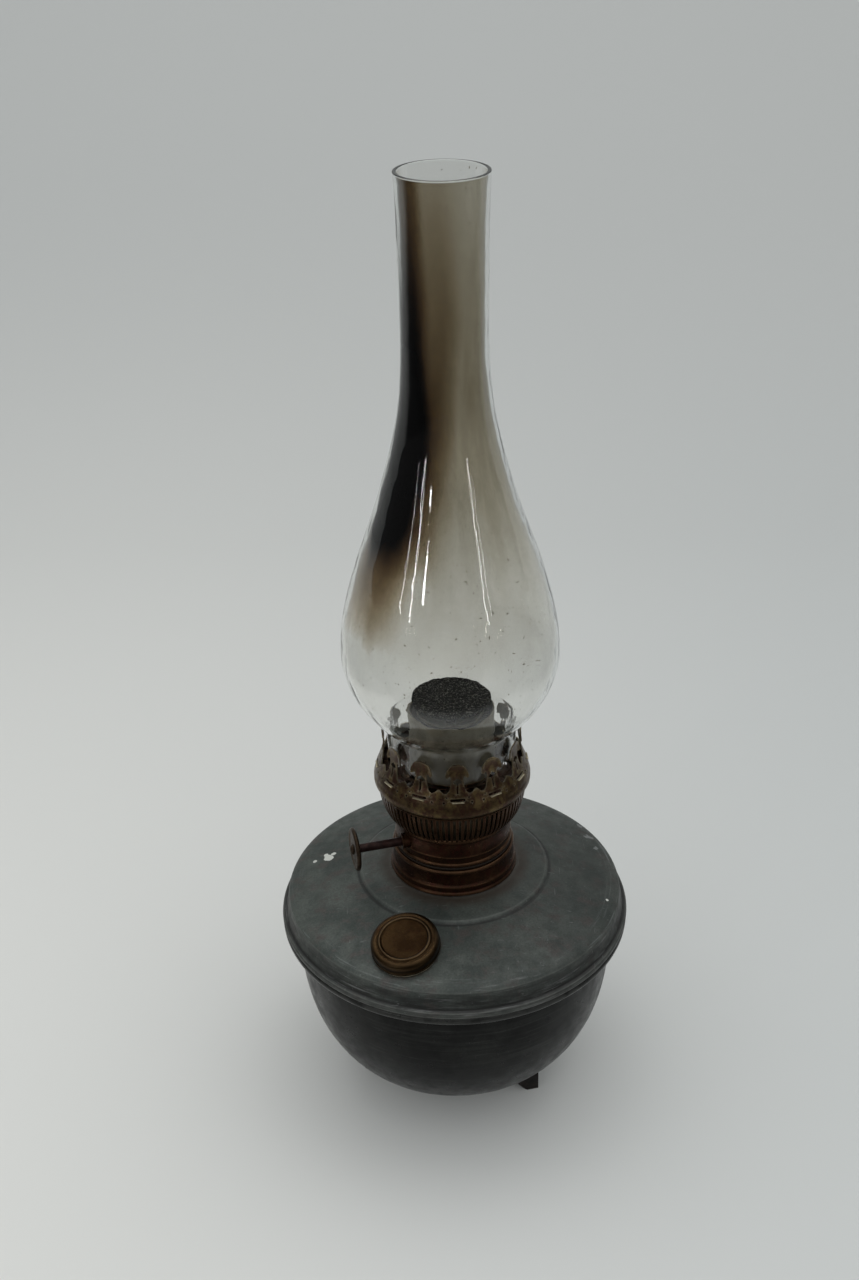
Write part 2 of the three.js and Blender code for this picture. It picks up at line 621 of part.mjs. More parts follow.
add("raiser_knob", turnedOnSpindle([
  [knobOutside + 0.5, SPINDLE_BORE], [knobOutside + 0.7, KNOB_RADIUS - 2.2],
  [knobOutside, KNOB_RADIUS - 1], [knobOutside + 0.3, KNOB_RADIUS - 0.2],
  [knobOutside + 1.1, KNOB_RADIUS], [knobInside - 0.3, KNOB_RADIUS - 0.2],
  [knobInside, KNOB_RADIUS - 0.8], [knobInside, SPINDLE_BORE],
], SMALL_FACETS), brownBrass, spindleFrame);

add("knob_rivet", turnedOnSpindle([
  [knobOutside - 1.2, 0], [knobOutside - 1, RIVET_RADIUS - 1.1],
  [knobOutside - 0.4, RIVET_RADIUS - 0.2], [knobOutside + 0.2, RIVET_RADIUS],
  [knobOutside + 0.2, SPINDLE_BORE], [knobOutside - 0.4, SPINDLE_BORE], [knobOutside - 0.4, 0],
], ROD_FACETS), goldBrass, spindleFrame);

// Toothed pieces share one pitch; a tooth is narrower than half of it, to run freely
const toothPitch = (TURN * PINION_PITCH_RADIUS) / TEETH;
const TIP_HALF = 0.14;
const ROOT_HALF = 0.42;
const ADDENDUM = 0.45;
const DEDENDUM = 0.6;

function pinionShape() {
  const points = [];
  for (let i = 0; i < TEETH; i += 1) {
    const centre = (i * TURN) / TEETH;
    const profile = [
      [-ROOT_HALF, -DEDENDUM], [-TIP_HALF, ADDENDUM], [TIP_HALF, ADDENDUM], [ROOT_HALF, -DEDENDUM],
    ];
    for (const [half, height] of profile) {
      const angle = centre + half / PINION_PITCH_RADIUS;
      const radius = PINION_PITCH_RADIUS + height;
      points.push(new THREE.Vector2(radius * Math.cos(angle), radius * Math.sin(angle)));
    }
  }
  const shape = new THREE.Shape(points);
  shape.holes.push(new THREE.Path().absarc(0, 0, 1.5, 0, TURN, true));
  return shape;
}

// Extrusions on the spindle run along its X; their outline is [towards +Y, up]
function extrudedOnSpindle(shape, from, to) {
  const options = { depth: to - from, bevelEnabled: false, curveSegments: 5 };
  const geometry = new THREE.ExtrudeGeometry(shape, options);
  const along = new THREE.Vector3(1, 0, 0);
  const side = new THREE.Vector3(0, 1, 0);
  const up = new THREE.Vector3(0, 0, 1);
  const place = new THREE.Matrix4().makeBasis(side, up, along).setPosition(from, 0, 0);
  return weld(geometry.applyMatrix4(place));
}

add("raiser_pinion", extrudedOnSpindle(pinionShape(), 2.5, 5), goldBrass, spindleFrame);

// The rack's gap faces the pinion's tooth at the spindle's height
const rackRoot = PINION_PITCH_RADIUS + DEDENDUM;
const rackTip = PINION_PITCH_RADIUS - ADDENDUM;
const rackBack = PINION_PITCH_RADIUS + 2.2;
const rackOutline = [[rackBack, RACK_FOOT - SPINDLE_Z], [rackRoot, RACK_FOOT - SPINDLE_Z]];
for (let i = -3; i <= 8; i += 1) {
  const centre = (i + 0.5) * toothPitch;
  rackOutline.push([rackRoot, centre - ROOT_HALF], [rackTip, centre - TIP_HALF]);
  rackOutline.push([rackTip, centre + TIP_HALF], [rackRoot, centre + ROOT_HALF]);
}
rackOutline.push([rackRoot, RACK_HEAD - SPINDLE_Z], [rackBack, RACK_HEAD - SPINDLE_Z]);
add("wick_rack", extrudedOnSpindle(polygon(rackOutline), 2.6, 4.8), goldBrass, spindleFrame);

// Carrier: a sleeve round the wick, with a lug that reaches out under the rack

const sleeve = turned([
  [CARRIER_INNER, CARRIER_BOTTOM], [CARRIER_OUTER, CARRIER_BOTTOM],
  [CARRIER_OUTER, CARRIER_TOP], [CARRIER_INNER, CARRIER_TOP],
], TUBE_FACETS);
const lugOutline = rectangle(LUG_HALF, CARRIER_BOTTOM + 1.2, RACK_FOOT - SEAT);
const lug = radialPrism(lugOutline, RACK_AZIMUTH, CARRIER_INNER + 0.2, LUG_REACH);
add("wick_carrier", join(sleeve, lug), goldBrass);

// Wick: a sleeve that parts round the draught duct and hangs into the font as two tails

const wickSleeve = turned([
  [WICK_INNER, WICK_BOTTOM], [WICK_OUTER, WICK_BOTTOM], [WICK_OUTER, WICK_TOP], [WICK_INNER, WICK_TOP],
], TUBE_FACETS);
const ductNotchTop = DRAUGHT_TOP + WICK_DROP + 1;
add("wick", cut(cut(wickSleeve, [
  radialPrism(rectangle(DRAUGHT_WIDTH / 2 + 0.7, 120, ductNotchTop), 90, 8, 22),
]), [
  radialPrism(rectangle(WICK_TAIL_HALF, WICK_BOTTOM - 1, 150), 90, 8, 22),
  radialPrism(rectangle(WICK_TAIL_HALF, WICK_BOTTOM - 1, 132), -90, 8, 22),
]), cotton);

// Flame disc on its stem, and the spider in the inner tube that the stem drops into

const hub = turned([
  [STEM_RADIUS + 0.4, SPIDER_BOTTOM], [SPIDER_HUB, SPIDER_BOTTOM],
  [SPIDER_HUB, SPIDER_TOP], [STEM_RADIUS + 0.4, SPIDER_TOP],
], ROD_FACETS);
const armOutline = rectangle(0.6, SPIDER_BOTTOM + 2, SPIDER_TOP - 2);
const arms = [30, 150, 270].map((azimuth) => (
  radialPrism(armOutline, azimuth, SPIDER_HUB - 0.4, INNER_TUBE_BORE - SEAT)
));
add("stem_spider", join(hub, ...arms), brownBrass);

add("disc_stem", turned([
  [0, STEM_BOTTOM], [STEM_RADIUS - 0.4, STEM_BOTTOM], [STEM_RADIUS, STEM_BOTTOM + 1],
  [STEM_RADIUS, STEM_SHOULDER], [STEM_RADIUS + 1.1, STEM_SHOULDER],
  [STEM_RADIUS + 1.1, STEM_SHOULDER + 1], [STEM_RADIUS, STEM_SHOULDER + 1],
  [STEM_RADIUS, STEM_TOP], [0, STEM_TOP],
], ROD_FACETS), steel);

const discUnderside = DISC_TOP - DISC_SHEET;
add("flame_disc", turned([
  [0, DISC_TOP], [DISC_RADIUS - DISC_CHAMFER, DISC_TOP],
  [DISC_RADIUS, DISC_TOP - DISC_CHAMFER], [DISC_RADIUS, discUnderside + 0.4],
  [DISC_RADIUS - DISC_CHAMFER, discUnderside], [BOSS_RADIUS, discUnderside],
  [BOSS_RADIUS, BOSS_BOTTOM], [STEM_RADIUS + SEAT, BOSS_BOTTOM],
  [STEM_RADIUS + SEAT, STEM_TOP + SEAT], [0, STEM_TOP + SEAT],
], TUBE_FACETS), soot);

// Chimney: fitter, bulb, throat and flared lip, with an even wall

function curve(...points) {
  return new THREE.CubicBezierCurve(...points.map(([r, z]) => new THREE.Vector2(r, z)));
}

const lowerBulb = curve(
  [FITTER_RADIUS + LIP_EDGE, CREASE + 0.4],
  [FITTER_RADIUS + 9.7, CREASE + 9.4],
  [BULB_RADIUS, BULB_HEIGHT - 15],
  [BULB_RADIUS, BULB_HEIGHT],
);
const upperBulb = curve(
  [BULB_RADIUS, BULB_HEIGHT],
  [BULB_RADIUS, BULB_HEIGHT + 42],
  [THROAT_RADIUS, THROAT_HEIGHT - 62],
  [THROAT_RADIUS, THROAT_HEIGHT],
);
const chimneyOutside = [
  new THREE.Vector2(FITTER_RADIUS, CHIMNEY_FOOT + LIP_EDGE),
  new THREE.Vector2(FITTER_RADIUS, CREASE),
  ...lowerBulb.getPoints(4),
  ...upperBulb.getPoints(8).slice(1),
  new THREE.Vector2(LIP_RADIUS - 0.6, CHIMNEY_TOP - 5.5),
  new THREE.Vector2(LIP_RADIUS, CHIMNEY_TOP - LIP_EDGE),
];

// Each inner point lies one wall's thickness behind the outer one, square to the curve
const chimneyInside = chimneyOutside.map((point, i) => {
  const before = chimneyOutside[Math.max(i - 1, 0)];
  const after = chimneyOutside[Math.min(i + 1, chimneyOutside.length - 1)];
  const along = after.clone().sub(before).normalize();
  return new THREE.Vector2(point.x - along.y * GLASS, point.y + along.x * GLASS);
});
chimneyInside[0].y = CHIMNEY_FOOT + LIP_EDGE;
chimneyInside[chimneyInside.length - 1].y = CHIMNEY_TOP - LIP_EDGE;
const chimneySection = [
  [FITTER_RADIUS - LIP_EDGE, CHIMNEY_FOOT],
  ...chimneyOutside.map((p) => [p.x, p.y]),
  [LIP_RADIUS - LIP_EDGE, CHIMNEY_TOP],
  [LIP_RADIUS - GLASS + LIP_EDGE, CHIMNEY_TOP],
  ...chimneyInside.reverse().map((p) => [p.x, p.y]),
  [FITTER_RADIUS - GLASS + LIP_EDGE, CHIMNEY_FOOT],
];
add("chimney_glass", turned(chimneySection, GLASS_FACETS), glass);

export default lamp;
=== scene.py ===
"""A kerosene lamp dressed for rendering: zinc font, brass burner and sooted glass chimney.

The lamp stands on the table with its axis on the Z axis and its filler cap towards -Y.
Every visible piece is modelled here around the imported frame. Outlines are drawn in
millimetres, as a lamp maker writes them, and become meshes in metres.
"""

import logging
import math
from collections.abc import Callable, Iterable
from dataclasses import dataclass
from enum import Enum

import bmesh
import bpy
from bmesh.types import BMesh, BMVert
from bpy.types import Material, Node, NodeSocket, NodeTree, Object
from mathutils import Matrix, Vector, noise
from mathutils.geometry import interpolate_bezier

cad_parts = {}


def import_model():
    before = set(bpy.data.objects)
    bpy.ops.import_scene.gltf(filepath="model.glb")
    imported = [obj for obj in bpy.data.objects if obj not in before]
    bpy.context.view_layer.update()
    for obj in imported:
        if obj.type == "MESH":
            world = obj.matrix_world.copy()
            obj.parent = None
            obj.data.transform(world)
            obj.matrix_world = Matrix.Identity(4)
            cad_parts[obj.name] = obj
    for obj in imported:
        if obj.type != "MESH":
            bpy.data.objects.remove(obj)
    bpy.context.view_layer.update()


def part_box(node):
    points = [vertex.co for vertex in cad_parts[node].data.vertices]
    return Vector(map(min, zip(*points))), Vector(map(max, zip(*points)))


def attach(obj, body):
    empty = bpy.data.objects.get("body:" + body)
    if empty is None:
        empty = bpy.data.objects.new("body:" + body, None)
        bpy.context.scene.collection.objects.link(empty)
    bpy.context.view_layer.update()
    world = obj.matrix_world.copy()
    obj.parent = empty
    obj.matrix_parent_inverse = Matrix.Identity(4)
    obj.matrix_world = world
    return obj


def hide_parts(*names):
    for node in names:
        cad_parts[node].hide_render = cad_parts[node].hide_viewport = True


MM = 0.001
TURN = math.tau
LOG = logging.getLogger("lamp")
WEAR_AND_HIGHLIGHT = "wear"

Colour = tuple[float, float, float]
Point = tuple[float, float]
Value = NodeSocket | Colour | float


class Finish(Enum):
    """The record's material slots."""

    ZINC_TOP = "zinc_top"
    ZINC_BOWL = "zinc_bowl"
    IRON = "iron_feet"
    BROWN_BRASS = "brown_brass"
    GOLD_BRASS = "gold_brass"
    CAP_BRASS = "cap_brass"
    KNOB_BRASS = "knob_brass"
    TUBE_BRASS = "tube_brass"
    BROWN_STEEL = "brown_steel"
    SOOTED_DISC = "sooted_disc"
    LEATHER = "leather_seal"
    COTTON = "cotton_wick"
    GLASS = "chimney_glass"


class Body(Enum):
    """The frame's moving bodies."""

    FONT = "font"
    CAP_SEAL = "cap_seal"
    CAP = "filler_cap"
    BURNER_SEAL = "burner_seal"
    BURNER = "burner"
    RAISER = "raiser"
    WICK = "wick"
    DISC = "flame_disc"
    CHIMNEY = "chimney"


# Node trees


class Nodes:
    """A node tree that is built up step by step."""

    def __init__(self, tree: NodeTree) -> None:
        """Works on a tree, which the new nodes go into."""
        self.tree = tree

    def feed(self, socket: NodeSocket, value: Value) -> None:
        """Sets a socket to a number or colour, or links another socket to it.

        Args:
            socket: the input.
            value: what it takes.
        """
        if isinstance(value, NodeSocket):
            self.tree.links.new(value, socket)
        elif isinstance(value, tuple) and socket.type == "RGBA":
            socket.default_value = (*value, 1.0)
        else:
            socket.default_value = value

    def fill(self, node: Node, **values: Value) -> None:
        """Fills a node's inputs by name, with underscores for spaces."""
        for word, value in values.items():
            self.feed(node.inputs[word.replace("_", " ")], value)

    def node(self, kind: str, *values: Value, **named: Value) -> Node:
        """Adds a node.

        Args:
            kind: the node's type.
            values: what its first inputs take, in order.
            named: what other inputs take, by name.

        Returns:
            The node.
        """
        node = self.tree.nodes.new(kind)
        for socket, value in zip(node.inputs, values):
            self.feed(socket, value)
        self.fill(node, **named)
        return node

    def output(self, kind: str, name: str) -> NodeSocket:
        """The output, by name, of a new node that needs no inputs."""
        return self.node(kind).outputs[name]

    def calc(self, operation: str, a: Value, b: Value = 0.0) -> NodeSocket:
        """One math step.

        Args:
            operation: the Math node's operation.
            a: first number or socket.
            b: second number or socket.

        Returns:
            The result's socket.
        """
        node = self.node("ShaderNodeMath", a, b)
        node.operation = operation
        return node.outputs[0]

    def times(self, a: Value, b: Value) -> NodeSocket:
        """The product of two numbers."""
        return self.calc("MULTIPLY", a, b)

    def plus(self, a: Value, b: Value) -> NodeSocket:
        """The sum of two numbers."""
        return self.calc("ADD", a, b)

    def minus(self, a: Value, b: Value) -> NodeSocket:
        """The first number less the second."""
        return self.calc("SUBTRACT", a, b)

    def split(self, vector: NodeSocket) -> tuple[NodeSocket, ...]:
        """The x, y and z of a vector socket."""
        return tuple(self.node("ShaderNodeSeparateXYZ", vector).outputs)

    def step(self, value: NodeSocket, low: float, high: float,
             to_low: float = 0.0, to_high: float = 1.0) -> NodeSocket:
        """A smooth step from one value to another as the input goes from low to high.

        Args:
            value: the input.
            low: where the step starts.
            high: where it ends.
            to_low: the value before it.
            to_high: the value after it.

        Returns:
            The result's socket.
        """
        node = self.node("ShaderNodeMapRange", value, low, high, to_low, to_high)
        node.interpolation_type = "SMOOTHSTEP"
        return node.outputs[0]

    def ramp(self, value: NodeSocket, *stops: tuple[float, Colour | float]) -> NodeSocket:
        """A colour ramp, smooth between its stops.

        Args:
            value: what chooses the colour.
            stops: position and colour, or position and grey level.

        Returns:
            The colour's socket.
        """
        node = self.node("ShaderNodeValToRGB", value)
        elements = node.color_ramp.elements
        while len(elements) < len(stops):
            elements.new(0.5)
        for element, (position, colour) in zip(elements, stops):
            element.position = position
            rgb = colour if isinstance(colour, tuple) else (colour,) * 3
            element.color = (*rgb, 1.0)
        return node.outputs[0]

    def blend(self, factor: Value, a: Value, b: Value, mode: str = "MIX") -> NodeSocket:
        """A blend of two colours.

        Args:
            factor: from 0 for a to 1 for b.
            a: first colour.
            b: second colour.
            mode: the Mix node's way of blending.

        Returns:
            The colour's socket.
        """
        node = self.node("ShaderNodeMix")
        node.data_type = "RGBA"
        node.blend_type = mode
        for position, value in ((0, factor), (6, a), (7, b)):
            self.feed(node.inputs[position], value)
        return node.outputs[2]


class Recipe(Nodes):
    """The node tree of one material: a Principled shader and what feeds it."""

    def __init__(self, name: str) -> None:
        """Starts an empty tree with its shader.

        Args:
            name: the material's name.
        """
        self.material: Material = bpy.data.materials.new(name)
        self.material.use_nodes = True
        super().__init__(self.material.node_tree)
        self.tree.nodes.clear()
        self.shader = self.node("ShaderNodeBsdfPrincipled")
        self.node("ShaderNodeOutputMaterial", self.shader.outputs["BSDF"])
        self.place = self.output("ShaderNodeTexCoord", "Object")

    def set(self, **values: Value) -> None:
        """Sets the shader's sockets, with underscores for spaces."""
        self.fill(self.shader, **values)

    def radius(self) -> NodeSocket:
        """The distance from the Z axis, in metres."""
        x, y, _ = self.split(self.place)
        return self.calc("SQRT", self.plus(self.times(x, x), self.times(y, y)))

    def way_round(self) -> NodeSocket:
        """The angle round the Z axis from the front, in radians, with its seam at the back."""
        x, y, _ = self.split(self.place)
        return self.calc("ARCTAN2", x, self.times(y, -1.0))

    def around(self, stretch: float) -> NodeSocket:
        """Coordinates that draw noise out round the Z axis.

        Args:
            stretch: how many millimetres of noise go round in one radian.

        Returns:
            Coordinates: the way round, the radius and the height.
        """
        _, _, z = self.split(self.place)
        along = self.times(self.way_round(), stretch * MM)
        return self.node("ShaderNodeCombineXYZ", along, self.radius(), z).outputs[0]

    def stretched(self, x: float, y: float, z: float) -> NodeSocket:
        """Object coordinates scaled by a factor along each axis."""
        return self.node("ShaderNodeMapping", Vector=self.place, Scale=(x, y, z)).outputs[0]

    def noise(self, size: float, detail: float = 4.0, roughness: float = 0.55,
              where: NodeSocket | None = None) -> NodeSocket:
        """Cloudy noise.

        Args:
            size: size of its patches, in millimetres.
            detail: how many finer layers it has.
            roughness: how strong the finer layers are.
            where: coordinates, or None for object coordinates.

        Returns:
            A value from 0 to 1.
        """
        node = self.node("ShaderNodeTexNoise", Vector=where or self.place, Scale=1.0 / (size * MM),
                         Detail=detail, Roughness=roughness)
        return node.outputs[0]

    def near(self, centre: tuple[float, float, float], reach: float, ragged: float,
             size: float) -> NodeSocket:
        """A ragged spot.

        Args:
            centre: its middle, in millimetres.
            reach: its radius, in millimetres.
            ragged: how far noise moves its edge, in millimetres.
            size: size of that noise, in millimetres.

        Returns:
            1 inside the spot and 0 outside.
        """
        apart = self.node("ShaderNodeVectorMath", self.place, tuple(c * MM for c in centre))
        apart.operation = "DISTANCE"
        wobble = self.times(self.noise(size, 3.0), 2 * ragged * MM)
        edge = (reach + ragged) * MM
        return self.step(self.plus(apart.outputs["Value"], wobble), edge, edge * 0.93)

    def attribute(self, name: str) -> NodeSocket:
        """A number stored on the mesh's points.

        Args:
            name: the attribute's name.

        Returns:
            The number's socket.
        """
        node = self.node("ShaderNodeAttribute")
        node.attribute_name = name
        return node.outputs["Fac"]

    def bump(self, height: NodeSocket, depth: float, under: NodeSocket | None = None) -> NodeSocket:
        """Fine relief.

        Args:
            height: from 0 to 1.
            depth: what a height of 1 stands for, in millimetres.
            under: another relief's normal, to which this one is added.

        Returns:
            The normal's socket.
        """
        node = self.node("ShaderNodeBump", Strength=1.0, Distance=depth * MM, Height=height)
        if under is not None:
            self.feed(node.inputs["Normal"], under)
        return node.outputs[0]


# Finishes


class Coat:
    """What covers a surface. Each kind feeds the shader in its own way."""

    def cover(self, recipe: Recipe) -> None:
        """Feeds the shader of a material."""
        raise NotImplementedError

    def material(self, name: str) -> Material:
        """Builds the material.

        Args:
            name: the material's name.

        Returns:
            The finished material.
        """
        recipe = Recipe(name)
        self.cover(recipe)
        return recipe.material


@dataclass(frozen=True)
class AgedMetal(Coat):
    """Old metal: two tones in soft patches, a third that stains it, and edges lightened both by wear and as
    painted highlights.
    """

    dark: Colour
    light: Colour
    stain: Colour
    rubbed_and_highlight: Colour
    metallic: float
    smoothest: float
    roughest: float
    patch: float = 22.0
    grain: float = 1.2
    stain_share: float = 0.5
    pitting: float = 0.02
    gloss: float = 0.5

    def tone(self, recipe: Recipe) -> NodeSocket:
        """The colour before any extra marks.

        Args:
            recipe: the material's node tree.

        Returns:
            The colour's socket.
        """
        patches = recipe.step(recipe.noise(self.patch, 5.0, 0.6), 0.35, 0.68)
        colour = recipe.blend(patches, self.dark, self.light)
        stains = recipe.noise(self.patch * 0.45, 6.0, 0.65, recipe.stretched(1.0, 1.3, 0.7))
        high = 0.75 - 0.3 * self.stain_share
        colour = recipe.blend(recipe.step(stains, high - 0.12, high + 0.08), colour, self.stain)
        speckle = recipe.noise(self.grain, 3.0, 0.7)
        grey = recipe.ramp(speckle, (0.3, 0.72), (0.7, 1.22))
        return recipe.blend(1.0, colour, grey, "MULTIPLY")

    def marks(self, recipe: Recipe, colour: NodeSocket) -> NodeSocket:
        """Marks that only this surface has. Plain metal has none."""
        return colour

    def cover(self, recipe: Recipe) -> None:
        """Feeds the shader.

        Args:
            recipe: the material's node tree.
        """
        patchy = recipe.step(recipe.noise(6.0, 4.0, 0.6), 0.25, 0.6, 0.35, 1.0)
        # Edges and beads take the pale edge colour: partly wear, partly painted highlight lines.
        worn_and_highlit = recipe.times(recipe.attribute(WEAR_AND_HIGHLIGHT), patchy)
        colour = recipe.blend(worn_and_highlit, self.marks(recipe, self.tone(recipe)), self.rubbed_and_highlight)
        haze = recipe.noise(self.patch * 0.3, 5.0, 0.6)
        rough = recipe.step(haze, 0.3, 0.7, self.smoothest, self.roughest)
        pits = recipe.bump(recipe.noise(self.grain * 0.6, 4.0, 0.6), self.pitting)
        waves = recipe.bump(recipe.noise(self.patch, 1.0, 0.4), self.pitting * 6.0, pits)
        recipe.set(Base_Color=colour, Metallic=self.metallic, Roughness=rough, Normal=waves)
        recipe.set(Specular_IOR_Level=self.gloss)


@dataclass(frozen=True)
class BurnerBrass(AgedMetal):
    """Brass near the flame, with a paler tone on the faces that look inwards, which is painted light inside
    the gallery.

    How far a face looks outwards is its distance from the lamp's axis, in millimetres,
    times how squarely it faces away from that axis.
    """

    painted_inner_light: Colour = (0.36, 0.335, 0.26)
    painted_light_above: float = 170.0
    painted_light_outwards: float = 4.0
    painted_light_inwards: float = 22.0

    def marks(self, recipe: Recipe, colour: NodeSocket) -> NodeSocket:
        """Adds the paler tone, painted light, above a height to faces that don't look far outwards.

        Args:
            recipe: the material's node tree.
            colour: the metal's colour so far.

        Returns:
            The colour with the painted light.
        """
        x, y, z = recipe.split(recipe.place)
        facing_x, facing_y, _ = recipe.split(recipe.output("ShaderNodeNewGeometry", "Normal"))
        outwards = recipe.plus(recipe.times(x, facing_x), recipe.times(y, facing_y))
        # Painted light: faces inside the gallery above the height are lightened.
        limit = self.painted_light_outwards
        inside = recipe.step(outwards, limit * MM, (limit - self.painted_light_inwards) * MM)
        high = recipe.step(z, self.painted_light_above * MM, (self.painted_light_above + 3.0) * MM)
        patchy = recipe.step(recipe.noise(5.0, 4.0), 0.25, 0.6, 0.6, 1.0)
        share = recipe.times(recipe.times(inside, high), patchy)
        return recipe.blend(share, colour, self.painted_inner_light)


@dataclass(frozen=True)
class SpunZinc(AgedMetal):
    """The font's bowl: dark zinc with the fine rings that spinning and wiping left."""

    scratch: Colour = (0.055, 0.057, 0.053)

    def marks(self, recipe: Recipe, colour: NodeSocket) -> NodeSocket:
        """Adds pale scratches and pale scuffs that run round the bowl.

        Args:
            recipe: the material's node tree.
            colour: the metal's colour so far.

        Returns:
            The colour with the scratches.
        """
        fine = recipe.noise(0.6, 3.0, 0.6, recipe.around(1.6))
        colour = recipe.blend(recipe.step(fine, 0.56, 0.76, 0.0, 0.45), colour, self.scratch)
        broad = recipe.noise(3.0, 4.0, 0.6, recipe.around(4.0))
        return recipe.blend(recipe.step(broad, 0.50, 0.75, 0.0, 0.18), colour, self.scratch)


@dataclass(frozen=True)
class Mark:
    """A ragged mark on a surface: where it is, how wide and how ragged in millimetres, how strong."""

    centre: tuple[float, float, float]
    reach: float
    ragged: float
    strength: float
    tint: Colour


@dataclass(frozen=True)
class ZincPlate(AgedMetal):
    """The font's top: zinc with fine scratches, a paint chip, a dark seam, painted light on its left, a
    painted sheen on its right and a painted shadow line along its step.
    """

    # The seam colour also paints the shadow line along the step.
    seam: Colour = (0.012, 0.012, 0.011)
    rust: Colour = (0.036, 0.026, 0.018)
    scratch_and_sheen: Colour = (0.30, 0.31, 0.31)
    paint: Colour = (0.66, 0.67, 0.62)
    step_radius: float = 45.0
    collar_radius: float = 29.0
    plate_edge: float = 78.0
    rim_radius: float = 80.0

    def spots(self) -> tuple[Mark, ...]:
        """The paint chips on the left, the painted sheen on the right and the dark pits.

        Returns:
            The marks, in the order in which they are laid on.
        """
        return (
            Mark((-60.0, 12.0, 115.0), 2.6, 1.2, 1.0, self.paint),
            Mark((-57.6, 14.5, 115.0), 1.5, 0.9, 1.0, self.paint),
            Mark((-61.5, 15.0, 114.5), 1.2, 0.9, 1.0, self.paint),
            Mark((-66.5, 12.0, 112.7), 1.1, 0.9, 0.9, self.paint),
            # Painted sheen: pale streaks along the plate's rounded edge on the right.
            Mark((63.0, 41.0, 110.5), 1.5, 3.5, 0.45, self.scratch_and_sheen),
            Mark((66.5, 31.0, 111.0), 2.2, 4.5, 0.45, self.scratch_and_sheen),
            Mark((69.0, 21.0, 111.3), 1.2, 2.5, 0.45, self.scratch_and_sheen),
            Mark((70.8, -18.7, 111.1), 0.7, 0.5, 0.9, self.paint),
            Mark((-57.0, -27.0, 114.0), 0.5, 0.6, 0.8, self.seam),
            Mark((-40.0, -60.0, 112.0), 0.6, 0.9, 0.8, self.seam),
            Mark((50.0, -31.0, 115.0), 0.4, 0.6, 0.8, self.seam),
            Mark((-21.6, -55.8, 115.0), 16.0, 2.5, 0.6, self.rust),
        )

    def rust_and_shade(self, recipe: Recipe, radius: NodeSocket, colour: NodeSocket) -> NodeSocket:
        """Adds rust where the plate meets the collar, a painted shadow line along its step, darker streaks
        outside the plate edge and a dark line at its rolled rim.

        Args:
            recipe: the material's node tree.
            radius: the distance from the lamp's axis.
            colour: the metal's colour so far.

        Returns:
            The colour with the dirt.
        """
        loose = recipe.times(recipe.noise(5.0, 4.0, 0.6), 4.0 * MM)
        near_collar = recipe.minus(radius, loose)
        halo = recipe.step(near_collar, self.collar_radius * MM, (self.collar_radius + 7.0) * MM, 0.85, 0.0)
        colour = recipe.blend(halo, colour, self.rust)
        # Painted shadow: a dark line along the step's edge, broken by noise.
        off_step = recipe.calc("ABSOLUTE", recipe.minus(radius, self.step_radius * MM))
        line = recipe.step(off_step, 1.1 * MM, 0.2 * MM, 0.0, 0.85)
        broken_step_shadow = recipe.times(line, recipe.step(recipe.noise(22.0, 3.0), 0.36, 0.52, 0.35, 1.0))
        colour = recipe.blend(broken_step_shadow, colour, self.seam)
        # Darker streaks over the skirt and rim outside the plate edge.
        streaks = recipe.noise(2.2, 4.0, 0.65, recipe.around(14.0))
        skirt = recipe.step(radius, self.plate_edge * MM, (self.plate_edge + 0.7) * MM)
        dull = recipe.times(skirt, recipe.step(streaks, 0.64, 0.36, 0.35, 0.9))
        colour = recipe.blend(dull, colour, self.seam)
        off_rim = recipe.calc("ABSOLUTE", recipe.minus(radius, self.rim_radius * MM))
        seam = recipe.step(off_rim, 0.7 * MM, 0.2 * MM, 0.0, 0.9)
        return recipe.blend(seam, colour, self.seam)

    def scuffs(self, recipe: Recipe, radius: NodeSocket, colour: NodeSocket) -> NodeSocket:
        """Adds pale scuffs that follow the rim, and thin scratches all over.

        Args:
            recipe: the material's node tree.
            radius: the distance from the lamp's axis.
            colour: the metal's colour so far.

        Returns:
            The colour with the scuffs.
        """
        rubbed_and_highlight = recipe.step(recipe.noise(1.4, 4.0, 0.65, recipe.around(5.0)), 0.55, 0.74)
        outer = recipe.step(radius, 69.0 * MM, 77.0 * MM, 0.0, 0.32)
        colour = recipe.blend(recipe.times(rubbed_and_highlight, outer), colour, self.scratch_and_sheen)
        across = recipe.noise(1.1, 2.0, 0.5, recipe.stretched(0.06, 1.0, 1.0))
        colour = recipe.blend(recipe.step(across, 0.69, 0.75, 0.0, 0.2), colour, self.scratch_and_sheen)
        along = recipe.noise(1.3, 2.0, 0.5, recipe.stretched(1.0, 0.07, 1.0))
        return recipe.blend(recipe.step(along, 0.70, 0.76, 0.0, 0.15), colour, self.scratch_and_sheen)

    def marks(self, recipe: Recipe, colour: NodeSocket) -> NodeSocket:
        """Adds painted light on the left, the rust and dark lines, the scuffs and the spots.

        Args:
            recipe: the material's node tree.
            colour: the metal's colour so far.

        Returns:
            The colour with all its marks.
        """
        radius = recipe.radius()
        x, _, _ = recipe.split(recipe.place)
        # Painted light: the plate is lighter on the left and darker on the right, as the light falls.
        painted_left_light = recipe.ramp(recipe.step(x, -75.0 * MM, 60.0 * MM), (0.0, 1.25), (1.0, 0.82))
        colour = recipe.blend(1.0, colour, painted_left_light, "MULTIPLY")
        colour = self.scuffs(recipe, radius, self.rust_and_shade(recipe, radius, colour))
        for mark in self.spots():
            spot = recipe.near(mark.centre, mark.reach, mark.ragged, 2.6)
            colour = recipe.blend(recipe.times(spot, mark.strength), colour, mark.tint)
        return colour


